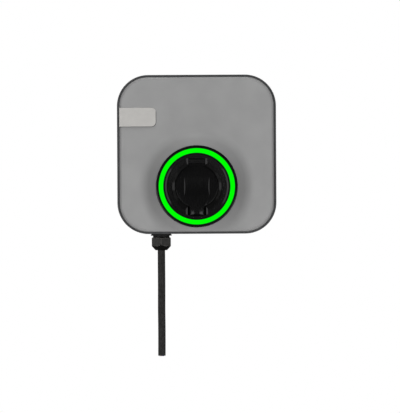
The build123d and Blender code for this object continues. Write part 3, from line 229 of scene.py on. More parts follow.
def paintedShadowLine(tree, shadowLine):
    # painted shadow line: a dark mask along the right and lower edge of a plate with a rounded corner, where
    # the raised plate's shadow falls
    split = onPiece(tree, "ShaderNodeSeparateXYZ")
    toRight = measure(tree, "SUBTRACT", split.outputs["X"], shadowLine["right"] - shadowLine["corner"])
    toFoot = measure(tree, "SUBTRACT", shadowLine["foot"] + shadowLine["corner"], split.outputs["Z"])
    past = measure(tree, "MAXIMUM", toRight, 0.0)
    under = measure(tree, "MAXIMUM", toFoot, 0.0)
    pastSquare = measure(tree, "MULTIPLY", past, past)
    underSquare = measure(tree, "MULTIPLY", under, under)
    reach = measure(tree, "SQRT", measure(tree, "ADD", pastSquare, underSquare))
    starts = shadowLine["corner"] - shadowLine["width"]
    full = shadowLine["corner"] - shadowLine["width"] * shadowLine["fullAt"]
    return spread(tree, reach, 0.0, 1.0, starts, full)


finishRules = {
    "specksPerMottle": 5,        # dust specks along one patch of the mottle
    "grainDepth": 0.3,           # depth of the grain as a share of its size
    "dustRoughness": 0.3,        # how much rougher full dust makes a surface
    # plated metal: how broken its worn edges are, its roughness below and above the look's own value,
    # and the bump of its drawn lines
    "platedBreak": 0.4, "platedSmoother": 0.08, "platedRougher": 0.1,
    "drawnStrength": 0.15, "drawnDepth": 0.0001,
}


def moulded(name, look):
    # moulded plastic or rubber: grain, mottle, lighter edges and dust. The lighter edges are wear, and on the
    # gland nut a painted highlight; a look may add painted light past a plane and a painted shadow line
    material, tree, shader = newFinish(name)
    grain = placeEffect(tree, mouldGrain, {
        "Grain Size": look["grainSize"], "Mottle Size": look["mottleSize"]})
    wearAndHighlight = placeEffect(tree, edgeWear, {
        "Edge Width": look["edgeWidth"], "Break Up": look["edgeBreak"]})
    dust = placeEffect(tree, restingDust, {
        "Amount": look["dust"], "Speck Size": look["mottleSize"] / finishRules["specksPerMottle"]})
    mottle = grain.outputs["Mottle"]
    bodyTone = blendColours(tree, spread(tree, mottle, 0.0, 1.0), look["colour"], look["shade"])
    if "paintedLightAxis" in look:
        # painted light past a plane of the piece: the funnel's deep slope gets painted shade, the lid's hinge
        # knuckle a painted highlight
        split = onPiece(tree, "ShaderNodeSeparateXYZ")
        past = spread(tree, split.outputs[look["paintedLightAxis"]], 0.0, 1.0, look["paintedLightFrom"], look["paintedLightTo"])
        bodyTone = blendColours(tree, past, bodyTone, look["paintedLightColour"])
    wornAndHighlit = blendColours(tree, wearAndHighlight.outputs["Wear"], bodyTone, look["edgeColour"])
    finishedTone = blendColours(tree, dust.outputs["Dust"], wornAndHighlit, look["dustColour"])
    # a painted shadow line along the plate's right and lower edge
    if "shadowLine" in look:
        finishedTone = blendColours(tree, paintedShadowLine(tree, look["shadowLine"]), finishedTone, look["shadowLine"]["colour"])
    tree.links.new(finishedTone, shader.inputs["Base Color"])
    smoothest = look["roughness"] - look["roughSpread"]
    roughest = look["roughness"] + look["roughSpread"]
    dulled = measure(tree, "MULTIPLY", dust.outputs["Dust"], finishRules["dustRoughness"])
    rough = measure(tree, "ADD", spread(tree, mottle, smoothest, roughest), dulled, True)
    tree.links.new(rough, shader.inputs["Roughness"])
    grainDepth = look["grainSize"] * finishRules["grainDepth"]
    addBump(tree, shader, grain.outputs["Height"], look["bump"], grainDepth)
    shader.inputs["Coat Weight"].default_value = look.get("coat", 0.0)
    shader.inputs["Coat Roughness"].default_value = look.get("coatRoughness", 0.05)
    shader.inputs["Specular IOR Level"].default_value = look.get("specular", 0.5)
    tidyNodes(tree)
    return material


def plated(name, look):
    # plated metal: crystal patches, drawn lines and worn edges
    material, tree, shader = newFinish(name)
    patches = onPiece(tree, "ShaderNodeTexVoronoi", None, {"Scale": 1 / look["patchSize"]})
    lines = onPiece(tree, "ShaderNodeMapping", None, {"Scale": look["lineScale"]})
    drawn = addNode(tree, "ShaderNodeTexNoise", None, {"Scale": 1.0, "Detail": 6.0, "Roughness": 0.65})
    tree.links.new(lines.outputs["Vector"], drawn.inputs["Vector"])
    wearAndHighlight = placeEffect(tree, edgeWear, {
        "Edge Width": look["edgeWidth"], "Break Up": finishRules["platedBreak"]})
    tone = spread(tree, patches.outputs["Color"], 0.0, 1.0, 0.0, 1.0)
    mixed = blendColours(tree, tone, look["colour"], look["shade"])
    wornAndHighlit = blendColours(tree, wearAndHighlight.outputs["Wear"], mixed, look["edgeColour"])
    tree.links.new(wornAndHighlit, shader.inputs["Base Color"])
    smoothest = look["roughness"] - finishRules["platedSmoother"]
    roughest = look["roughness"] + finishRules["platedRougher"]
    tree.links.new(spread(tree, drawn.outputs["Fac"], smoothest, roughest), shader.inputs["Roughness"])
    addBump(tree, shader, drawn.outputs["Fac"], finishRules["drawnStrength"], finishRules["drawnDepth"])
    shader.inputs["Metallic"].default_value = 1.0
    tidyNodes(tree)
    return material


def dress(material, *names):
    # gives a CAD node its finish
    for name in names:
        slots = nodes[name].data.materials
        if len(slots) == 0:
            slots.append(material)
        for place in range(len(slots)):
            slots[place] = material


def newPiece(name, mesh):
    piece = bpy.data.objects.new(name, mesh)
    bpy.context.scene.collection.objects.link(piece)
    return piece


meshRules = {"mergeGap": 0.000002, "sharpAngle": 28}     # metres and degrees


def smoothMesh(mesh, name):
    # the finished mesh, smooth but for its sharp edges
    data = bpy.data.meshes.new(name)
    mesh.to_mesh(data)
    mesh.free()
    for layer in [item.name for item in data.attributes if item.name == "custom_normal"]:
        data.attributes.remove(data.attributes[layer])
    data.shade_smooth()
    data.set_sharp_from_angle(angle=math.radians(meshRules["sharpAngle"]))
    return data


def plainMesh(piece):
    # turns the evaluated modifiers into a plain mesh and removes them
    view = bpy.context.evaluated_depsgraph_get()
    made = bpy.data.meshes.new_from_object(piece.evaluated_get(view), depsgraph=view)
    piece.modifiers.clear()
    piece.data = made
    return piece


# supply cable

supplyCable = {
    "diameter": 0.0118,
    "exit": (-0.0567, -0.038, -0.125),
    "route": [
        (-0.0567, -0.038, -0.1050),
        (-0.0567, -0.038, -0.1400),
        (-0.0566, -0.038, -0.1750),
        (-0.0565, -0.038, -0.2100),
        (-0.0568, -0.038, -0.2450),
        (-0.0564, -0.038, -0.2800),
        (-0.0567, -0.038, -0.3177),
    ],
    "jacket": {
        "colour": (0.0178, 0.0168, 0.0158), "shade": (0.0105, 0.0098, 0.0092),
        "edgeColour": (0.045, 0.045, 0.045), "dustColour": (0.10, 0.10, 0.10), "dust": 0.1,
        "roughness": 0.62, "roughSpread": 0.08,
        "grainSize": 0.0012, "mottleSize": 0.006, "bump": 0.5, "edgeWidth": 0.0004, "edgeBreak": 0.6,
    },
    # what shows in the cut end: how far each stands out of the jacket, and how far it reaches in
    "fillerRadius": 0.0046, "fillerStick": 0.0002, "fillerDepth": 0.002, "fillerSides": 64,
    "cores": 5, "coreCircle": 0.00262, "coreRadius": 0.0015, "coreStick": 0.0007, "coreDepth": 0.001,
    "coreSides": 32,
    "strandRadius": 0.00019, "strandStick": 0.0009, "strandLength": 0.0015,
}


def hangCable(cable, jacket):
    curve = bpy.data.curves.new("supplyCable", "CURVE")
    curve.dimensions = "3D"
    spline = curve.splines.new("NURBS")
    spline.points.add(len(cable["route"]) - 1)
    for point, place in zip(spline.points, cable["route"]):
        point.co = (*place, 1)
    spline.order_u = 3
    spline.use_endpoint_u = True
    spline.resolution_u = 8
    curve.bevel_depth = cable["diameter"] / 2
    curve.bevel_resolution = 12
    curve.use_fill_caps = True
    curve.materials.append(jacket)
    piece = newPiece("supplyCable", curve)
    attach(piece, "root")
    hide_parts("supply_cable")
    return piece


cableJacket = moulded("cableJacket", supplyCable["jacket"])
cablePiece = hangCable(supplyCable, cableJacket)
print("cable hung")


# finishes of the housing

coverLook = {
    "colour": (0.335, 0.335, 0.334), "shade": (0.322, 0.322, 0.322), "edgeColour": (0.40, 0.40, 0.40),
    "dustColour": (0.42, 0.42, 0.41), "dust": 0.15, "roughness": 0.55, "roughSpread": 0.05,
    "grainSize": 0.0005, "mottleSize": 0.03, "bump": 0.25, "edgeWidth": 0.0005, "edgeBreak": 0.7,
    "specular": 0.8,
}
shellLook = {
    "colour": (0.055, 0.056, 0.058), "shade": (0.046, 0.047, 0.049), "edgeColour": (0.11, 0.11, 0.11),
    "dustColour": (0.16, 0.16, 0.16), "dust": 0.25, "roughness": 0.58, "roughSpread": 0.07,
    "grainSize": 0.0007, "mottleSize": 0.02, "bump": 0.5, "edgeWidth": 0.0006, "edgeBreak": 0.6,
}
badgeLook = {
    "colour": (0.58, 0.566, 0.542), "shade": (0.552, 0.539, 0.517), "edgeColour": (0.62, 0.61, 0.59),
    "dustColour": (0.6, 0.6, 0.58), "dust": 0.1, "roughness": 0.42, "roughSpread": 0.06,
    "grainSize": 0.0004, "mottleSize": 0.008, "bump": 0.15, "edgeWidth": 0.0004, "edgeBreak": 0.6,
    # a painted shadow line along the badge's right and lower edge
    "shadowLine": {"right": max(corner[0] for corner in nodes["badge_plate"].bound_box),
             "foot": min(corner[2] for corner in nodes["badge_plate"].bound_box),
             "corner": 0.0077, "width": 0.0009, "fullAt": 0.6, "colour": (0.05, 0.05, 0.05)},
}

dress(moulded("coverPlastic", coverLook), "front_cover")
dress(moulded("shellPlastic", shellLook), "rear_shell")
dress(moulded("badgePlastic", badgeLook), "badge_plate")
print("housing dressed")


# socket front

blackGlossLook = {
    "colour": (0.0034, 0.0034, 0.0036), "shade": (0.0022, 0.0022, 0.0024), "edgeColour": (0.02, 0.02, 0.02),
    "dustColour": (0.04, 0.04, 0.04), "dust": 0.05, "roughness": 0.2, "roughSpread": 0.04,
    "grainSize": 0.0008, "mottleSize": 0.012, "bump": 0.04, "edgeWidth": 0.0003, "edgeBreak": 0.7,
    "coat": 0.3, "coatRoughness": 0.06,
}
blackGloss = moulded("blackGloss", blackGlossLook)
dress(blackGloss, "trim_ring")

lidPieces = {
    "socketAxis": -0.0505,       # height of the socket's axis
    "funnelFront": 0.100,        # distance of the funnel's rim from the wall
    "lidFront": 0.0945,          # distance of the lid's face from the wall
    "notchStart": 0.03,          # the notches lie farther from the axis than this
    "slack": 0.02,               # share of a bevel's width that a point may lie past it
    "notches": [
        # side of the axis; half widths at the bevel's foot and rim, and its height; new half width
        # at the foot, and new height
        {"side": 1, "inner": 0.0134, "outer": 0.0166, "tall": 0.0026851, "foot": 0.0134, "low": 0.00185},
        {"side": -1, "inner": 0.0118, "outer": 0.0173, "tall": 0.0046151, "foot": 0.0146, "low": 0.00156},
    ],
    # half width, run of the sides, half height and depth; and by how much the run is stretched
    "scoop": {"outer": 0.0197, "run": 0.0013, "height": 0.0146, "depth": 0.0012, "stretch": 1.2},
    # radius, lean in degrees and start below the axis; and the share of the depth that stays
    "thumb": {"radius": 0.014, "lean": 24, "below": 0.035, "flatten": 0.42},
    "nearest": 0.00006,          # a point this close to a surface counts as on it
}
# the funnel turns near black a little behind its rim: painted shade on the pocket's slope
funnelLook = dict(blackGlossLook, colour=(0.0082, 0.0082, 0.0084), shade=(0.0066, 0.0066, 0.0068),
                  paintedLightAxis="Y", paintedLightFrom=-0.0998, paintedLightTo=-0.0988, paintedLightColour=(0.0006, 0.0006, 0.0006))
# the lid turns lighter at its top: a painted highlight on the hinge knuckle
lidLook = dict(blackGlossLook,
               paintedLightAxis="Z", paintedLightFrom=-0.0112, paintedLightTo=-0.0102, paintedLightColour=(0.014, 0.014, 0.014))


def lowerBevel(point, sizes):
    # a gentler bevel along a notch's sides catches the side light
    for notch in sizes["notches"]:
        share = (abs(point.x) - notch["inner"]) / (notch["outer"] - notch["inner"])
        old = sizes["funnelFront"] - (1 - share) * notch["tall"]
        beyond = (point.z - sizes["socketAxis"]) * notch["side"] > sizes["notchStart"]
        onBevel = -sizes["slack"] < share < 1 + sizes["slack"]
        if beyond and onBevel and abs(-point.y - old) < sizes["nearest"]:
            across = notch["outer"] - (1 - share) * (notch["outer"] - notch["foot"])
            front = sizes["funnelFront"] - (1 - share) * notch["low"]
            return Vector((math.copysign(across, point.x), -front, point.z))
    return point


def wideScoop(point, sizes):
    # the same for the upright sides of the lid's scoop
    scoop = sizes["scoop"]
    inside = scoop["outer"] - abs(point.x)
    depth = sizes["lidFront"] + point.y
    onSide = abs(inside * scoop["depth"] / scoop["run"] - depth) < sizes["nearest"]
    if onSide and depth > sizes["nearest"] and abs(point.z - sizes["socketAxis"]) < scoop["height"]:
        across = scoop["outer"] - inside * scoop["stretch"]
        return Vector((math.copysign(across, point.x), point.y, point.z))
    return point


def shallowThumb(point, sizes):
    # a flatter grip in the thumb tab turns its flanks to the light
    thumb = sizes["thumb"]
    lean = math.radians(thumb["lean"])
    start = Vector((0, -sizes["lidFront"] - thumb["radius"] * math.cos(lean),
                    sizes["socketAxis"] - thumb["below"] - thumb["radius"] * math.sin(lean)))
    along = Vector((0, math.sin(lean), -math.cos(lean)))
    reach = (point - start).cross(along).length
    depth = sizes["lidFront"] + point.y
    if abs(reach - thumb["radius"]) < 2 * sizes["nearest"] and depth > sizes["nearest"]:
        return Vector((point.x, depth * thumb["flatten"] - sizes["lidFront"], point.z))
    return point


def lidChange(point, sizes):
    return shallowThumb(wideScoop(point, sizes), sizes)


def recut(node, name, body, material, change, sizes):
    # merged copy of a CAD piece with a few points moved, in place of that piece
    mesh = bmesh.new()
    mesh.from_mesh(nodes[node].data)
    bmesh.ops.remove_doubles(mesh, verts=mesh.verts, dist=meshRules["mergeGap"])
    moved = 0
    for vertex in mesh.verts:
        place = change(vertex.co, sizes)
        moved += (place - vertex.co).length > 0
        vertex.co = place
    data = smoothMesh(mesh, name)
    data.materials.clear()
    data.materials.append(material)
    piece = newPiece(name, data)
    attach(piece, body)
    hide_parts(node)
    print(name, "made, points moved:", moved)


funnelGloss = moulded("funnelGloss", funnelLook)
recut("lid_frame", "lidFunnel", "root", funnelGloss, lowerBevel, lidPieces)
recut("lid", "lidCap", "lid", moulded("lidGloss", lidLook), lidChange, lidPieces)

lightRing = {
    "centre": (0.0, 0.0, -0.0505),
    "inner": 0.0524, "outer": 0.0597, "edge": 0.0011,
    "green": (0.0, 1.0, 0.0), "edgeGreen": (0.0, 0.45, 0.01), "strength": 1.0,
    "unlit": (0.0, 0.12, 0.0), "unlitEdge": (0.0, 0.05, 0.0), "roughness": (0.3, 0.4), "specular": 0.02,
    "grainSize": 0.0015, "mottleSize": 0.01, "mottleShare": 0.02,
}


def litGuide(name, look):
    # evenly lit light guide that is a little darker right at its edges
    material, tree, shader = newFinish(name)
    toCentre = tuple(-value for value in look["centre"])
    centred = onPiece(tree, "ShaderNodeMapping", None, {"Location": toCentre, "Scale": (1, 0, 1)})
    radius = addNode(tree, "ShaderNodeVectorMath", {"operation": "LENGTH"})
    tree.links.new(centred.outputs["Vector"], radius.inputs[0])
    middle = (look["inner"] + look["outer"]) / 2
    away = measure(tree, "ABSOLUTE", measure(tree, "SUBTRACT", radius.outputs["Value"], middle))
    half = (look["outer"] - look["inner"]) / 2
    edge = spread(tree, away, 0.0, 1.0, half - look["edge"], half)
    grain = placeEffect(tree, mouldGrain, {
        "Grain Size": look["grainSize"], "Mottle Size": look["mottleSize"]})
    mottle = measure(tree, "MULTIPLY", grain.outputs["Mottle"], look["mottleShare"])
    glow = blendColours(tree, measure(tree, "ADD", edge, mottle, True), look["green"], look["edgeGreen"])
    tree.links.new(glow, shader.inputs["Emission Color"])
    tree.links.new(blendColours(tree, edge, look["unlit"], look["unlitEdge"]), shader.inputs["Base Color"])
    tree.links.new(spread(tree, grain.outputs["Height"], *look["roughness"]), shader.inputs["Roughness"])
    shader.inputs["Emission Strength"].default_value = look["strength"]
    shader.inputs["Specular IOR Level"].default_value = look["specular"]
    tidyNodes(tree)
    return material


dress(litGuide("lightGuide", lightRing), "light_ring")
print("socket front dressed")


# gland and rubber

# its pale edge colour on the dark plastic is a painted highlight along the nut's edges, not wear
glandLook = {
    "colour": (0.0185, 0.0172, 0.0158), "shade": (0.0125, 0.0117, 0.0108), "edgeColour": (0.34, 0.32, 0.30),
    "dustColour": (0.12, 0.12, 0.12), "dust": 0.15, "roughness": 0.42, "roughSpread": 0.07,
    "grainSize": 0.0006, "mottleSize": 0.006, "bump": 0.3, "edgeWidth": 0.0011, "edgeBreak": 0.3,
}
rubberLook = {
    "colour": (0.020, 0.020, 0.020), "shade": (0.013, 0.013, 0.013), "edgeColour": (0.05, 0.05, 0.05),
    "dustColour": (0.10, 0.10, 0.10), "dust": 0.2, "roughness": 0.75, "roughSpread": 0.06,
    "grainSize": 0.0005, "mottleSize": 0.005, "bump": 0.4, "edgeWidth": 0.0004, "edgeBreak": 0.6,
}
socketLook = {
    "colour": (0.018, 0.018, 0.019), "shade": (0.012, 0.012, 0.013), "edgeColour": (0.06, 0.06, 0.06),
    "dustColour": (0.10, 0.10, 0.10), "dust": 0.15, "roughness": 0.5, "roughSpread": 0.07,
    "grainSize": 0.0006, "mottleSize": 0.01, "bump": 0.3, "edgeWidth": 0.0005, "edgeBreak": 0.6,
}
collarLook = dict(glandLook, colour=(0.007, 0.0066, 0.0062), shade=(0.0045, 0.0042, 0.004),
                  edgeColour=(0.04, 0.04, 0.04), specular=0.25)
# a darker copy of the gland plastic: painted shade on the cone under the nut
shadedConeLook = dict(glandLook, colour=(0.0048, 0.0044, 0.0042), shade=(0.003, 0.0028, 0.0027),
                edgeColour=(0.03, 0.03, 0.03), specular=0.15)
glandPlastic = moulded("glandPlastic", glandLook)
dress(glandPlastic, "gland_locknut")
dress(moulded("collarPlastic", collarLook), "gland_body")

glandNut = {
    "axis": (-0.0567, -0.038), "top": -0.1304, "foot": -0.1509, "acrossFlats": 0.030, "columns": 96,
    "topRadius": 0.013, "topChamfer": 0.002, "coneHeight": 0.009, "coneFoot": 0.0096, "footEdge": 0.0004,
    "hole": 0.0111, "holeFloor": -0.1434, "bore": 0.00635,
    "shadedConeSteps": (3, 4, 5),      # steps of the section, from its top, that get the darker copy of the plastic: painted shade on the cone
}


def nutMesh(nut):
    # hexagon with a corner in front, cut by a chamfer above and a long cone below
    corner = nut["acrossFlats"] / math.sqrt(3)
    mesh = bmesh.new()
    columns = []
    for i in range(nut["columns"]):
        angle = 2 * math.pi * i / nut["columns"]
        fromFlat = (angle + math.pi / 6) % (math.pi / 3) - math.pi / 6
        wide = nut["acrossFlats"] / 2 / math.cos(fromFlat)
        chamferShare = (wide - nut["topRadius"]) / (corner - nut["topRadius"])
        coneShare = (wide - nut["coneFoot"]) / (corner - nut["coneFoot"])
        section = (
            (nut["hole"], nut["top"]),
            (nut["topRadius"], nut["top"]),
            (wide, nut["top"] - chamferShare * nut["topChamfer"]),
            (wide, nut["foot"] + coneShare * nut["coneHeight"]),
            (nut["coneFoot"], nut["foot"] + nut["footEdge"]),
            (nut["coneFoot"] - nut["footEdge"], nut["foot"]),
            (nut["bore"], nut["foot"]),
            (nut["bore"], nut["holeFloor"]),
            (nut["hole"], nut["holeFloor"]),
        )
        columns.append([
            mesh.verts.new((nut["axis"][0] + radius * math.cos(angle),
                            nut["axis"][1] + radius * math.sin(angle), level))
            for radius, level in section])
    for i, column in enumerate(columns):
        following = columns[(i + 1) % len(columns)]
        for k in range(len(column)):
            after = (k + 1) % len(column)
            face = mesh.faces.new((column[k], column[after], following[after], following[k]))
            face.material_index = 1 if k in nut["shadedConeSteps"] else 0
    bmesh.ops.recalc_face_normals(mesh, faces=mesh.faces)
    return smoothMesh(mesh, "glandNut")


nutPiece = newPiece("glandNut", nutMesh(glandNut))
nutPiece.data.materials.append(glandPlastic)
nutPiece.data.materials.append(moulded("shadedConePlastic", shadedConeLook))
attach(nutPiece, "root")
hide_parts("gland_nut")
dress(moulded("softRubber", rubberLook), "gland_washer", "gland_seal", "cover_gasket", "lid_seal",
      "socket_gasket")
dress(moulded("socketPlastic", socketLook), "socket_housing", "contact_carrier", "socket_rear_cap",
      "lock_actuator")
print("gland and rubber dressed")


# metals

plateLook = {
    "colour": (0.60, 0.61, 0.62), "shade": (0.52, 0.53, 0.55), "edgeColour": (0.72, 0.72, 0.72),
    "roughness": 0.38, "patchSize": 0.009, "lineScale": (300, 300, 9), "edgeWidth": 0.0005,
}
screwLook = {
    "colour": (0.56, 0.56, 0.55), "shade": (0.47, 0.47, 0.46), "edgeColour": (0.75, 0.75, 0.74),
    "roughness": 0.3, "patchSize": 0.002, "lineScale": (900, 900, 900), "edgeWidth": 0.0003,
}
blackenedLook = {
    "colour": (0.030, 0.030, 0.031), "shade": (0.018, 0.018, 0.019), "edgeColour": (0.12, 0.12, 0.12),
    "roughness": 0.42, "patchSize": 0.0015, "lineScale": (900, 900, 900), "edgeWidth": 0.0002,
}
contactLook = {
    "colour": (0.80, 0.78, 0.72), "shade": (0.72, 0.69, 0.62), "edgeColour": (0.88, 0.86, 0.80),
    "roughness": 0.22, "patchSize": 0.004, "lineScale": (900, 60, 900), "edgeWidth": 0.0003,
}
shieldLook = {
    "colour": (0.62, 0.62, 0.61), "shade": (0.55, 0.55, 0.55), "edgeColour": (0.75, 0.75, 0.75),
    "roughness": 0.33, "patchSize": 0.006, "lineScale": (60, 900, 900), "edgeWidth": 0.0004,
}
dress(plated("plateSteel", plateLook), "wall_plate")
dress(plated("screwSteel", screwLook), "cover_screws", "frame_screws", "locking_screws", "socket_screws",
      "board_screws", "terminal_screws", "lock_pin")
dress(plated("blackenedSteel", blackenedLook), "lid_pin", "lid_spring")
dress(plated("contactSilver", contactLook), "contact_l1", "contact_l2", "contact_l3", "contact_n",
      "contact_pe", "contact_cp", "contact_pp")
dress(plated("moduleMetal", shieldLook), "radio_module")
print("metals dressed")


# boards and wires

boardLook = {
    "mask": (0.012, 0.085, 0.035), "track": (0.020, 0.13, 0.055), "trackSize": 0.0028,
    "randomness": 0.65, "trackEdge": (0.04, 0.07), "roughness": 0.32, "trackRougher": 0.12,
    "bump": 0.4, "bumpDepth": 0.00005,
}


def laminate(name, look):
    # solder mask with tracks that show through
    material, tree, shader = newFinish(name)
    cells = onPiece(tree, "ShaderNodeTexVoronoi", {"feature": "DISTANCE_TO_EDGE"},
                    {"Scale": 1 / look["trackSize"], "Randomness": look["randomness"]})
    track = spread(tree, cells.outputs["Distance"], 1.0, 0.0, *look["trackEdge"])
    tree.links.new(blendColours(tree, track, look["mask"], look["track"]), shader.inputs["Base Color"])
    rough = spread(tree, track, look["roughness"], look["roughness"] + look["trackRougher"], 0, 1)
    tree.links.new(rough, shader.inputs["Roughness"])
    addBump(tree, shader, track, look["bump"], look["bumpDepth"])
    tidyNodes(tree)
    return material


plainTones = {"edgeGain": 1.5, "edgeLift": 0.02, "shade": 0.85}


def plainPlastic(colour, roughness=0.45):
    # grain and edges of a small moulded or drawn part in one colour
    pale = tuple(min(1.0, value * plainTones["edgeGain"] + plainTones["edgeLift"]) for value in colour)
    deep = tuple(value * plainTones["shade"] for value in colour)
    return {
        "colour": colour, "shade": deep, "edgeColour": pale, "dustColour": pale, "dust": 0.1,
        "roughness": roughness, "roughSpread": 0.06, "grainSize": 0.0005, "mottleSize": 0.006, "bump": 0.2,
        "edgeWidth": 0.0004, "edgeBreak": 0.6,
    }


insideColours = {
    "relayBlack": ((0.016, 0.016, 0.017), ["relay_l1_l2", "relay_l3_n", "current_sensor"]),
    "terminalGrey": ((0.20, 0.21, 0.20), ["terminal_block"]),
    "moduleBlack": ((0.014, 0.014, 0.015), ["supply_module"]),
    "spacerWhite": ((0.62, 0.61, 0.57), ["board_spacers"]),
    "ribbonGrey": ((0.36, 0.36, 0.37), ["ribbon_cable"]),
    "brownInsulation": ((0.10, 0.035, 0.013), ["wire_l1", "core_l1"]),
    "blackInsulation": ((0.013, 0.013, 0.014), ["wire_l2", "core_l2", "pilot_wires"]),
    "greyInsulation": ((0.22, 0.22, 0.23), ["wire_l3", "core_l3"]),
    "blueInsulation": ((0.012, 0.06, 0.33), ["wire_n", "core_n"]),
}
insulation = {}
for name, (colour, wearers) in insideColours.items():
    insulation[name] = moulded(name, plainPlastic(colour))
    dress(insulation[name], *wearers)

stripeLook = {
    "green": (0.02, 0.25, 0.04), "yellow": (0.75, 0.55, 0.03), "turn": (0.6, 0.5, 0.3),
    "bandScale": 41.666667,      # scale of the wave: a green and a yellow band take 7.5 mm
    "border": (0.47, 0.53), "roughness": (0.38, 0.5), "grainSize": 0.0006, "mottleSize": 0.008,
}


def stripedInsulation(name, look):
    # slanting green and yellow bands along the wire
    material, tree, shader = newFinish(name)
    turned = onPiece(tree, "ShaderNodeMapping", None, {"Rotation": look["turn"]})
    band = addNode(tree, "ShaderNodeTexWave", {"wave_profile": "SIN"},
                   {"Scale": look["bandScale"], "Distortion": 0.0})
    tree.links.new(turned.outputs["Vector"], band.inputs["Vector"])
    half = spread(tree, band.outputs["Fac"], 0.0, 1.0, *look["border"])
    tree.links.new(blendColours(tree, half, look["green"], look["yellow"]), shader.inputs["Base Color"])
    grain = placeEffect(tree, mouldGrain, {
        "Grain Size": look["grainSize"], "Mottle Size": look["mottleSize"]})
    tree.links.new(spread(tree, grain.outputs["Mottle"], *look["roughness"]), shader.inputs["Roughness"])
    tidyNodes(tree)
    return material


insulation["greenInsulation"] = stripedInsulation("greenInsulation", stripeLook)
dress(insulation["greenInsulation"], "wire_pe", "core_pe")
dress(laminate("boardLaminate", boardLook), "power_board", "control_board", "rfid_board", "led_board")
print("boards and wires dressed")


# cut end of the cable

copperLook = {
    "colour": (0.72, 0.36, 0.20), "shade": (0.60, 0.27, 0.14), "edgeColour": (0.85, 0.5, 0.32),
    "roughness": 0.3, "patchSize": 0.0006, "lineScale": (4000, 4000, 300), "edgeWidth": 0.00005,
}
fillerColour, fillerRoughness = (0.42, 0.41, 0.38), 0.8
copper = plated("copperStrands", copperLook)
filler = moulded("cableFiller", plainPlastic(fillerColour, fillerRoughness))
stubChamfer = 0.06               # share of a stub's radius


def roundStub(mesh, centre, radius, top, foot, sides, faceNumber):
    # short upright cylinder with a small chamfer at its foot
    edge = radius * stubChamfer
    rings = []
    for level, size in ((top, radius), (foot + edge, radius), (foot, radius - edge)):
        rings.append([
            mesh.verts.new((centre[0] + size * math.cos(2 * math.pi * i / sides),
                            centre[1] + size * math.sin(2 * math.pi * i / sides), level))
            for i in range(sides)])
    for upper, lower in zip(rings, rings[1:]):
        for i in range(sides):
            j = (i + 1) % sides
            mesh.faces.new((upper[j], upper[i], lower[i], lower[j])).material_index = faceNumber
    mesh.faces.new(list(reversed(rings[-1]))).material_index = faceNumber
    mesh.faces.new(rings[0]).material_index = faceNumber


def cutEnd(cable):
    # filler and five cores that stand a little out of the cut jacket
    x, y, level = cable["route"][-1]
    mesh = bmesh.new()
    roundStub(mesh, (x, y), cable["fillerRadius"], level + cable["fillerDepth"], level - cable["fillerStick"],
              cable["fillerSides"], 0)
    for i in range(cable["cores"]):
        angle = math.radians(90 + 360 / cable["cores"] * i)
        centre = (x + cable["coreCircle"] * math.cos(angle), y + cable["coreCircle"] * math.sin(angle))
        roundStub(mesh, centre, cable["coreRadius"], level + cable["coreDepth"], level - cable["coreStick"],
                  cable["coreSides"], i + 1)
    data = bpy.data.meshes.new("cutCores")
    mesh.to_mesh(data)
    mesh.free()
    piece = newPiece("cutCores", data)
    for material in [filler] + [insulation[name] for name in (
            "brownInsulation", "blackInsulation", "greyInsulation", "blueInsulation", "greenInsulation")]:
        data.materials.append(material)
    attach(piece, "root")
    return piece


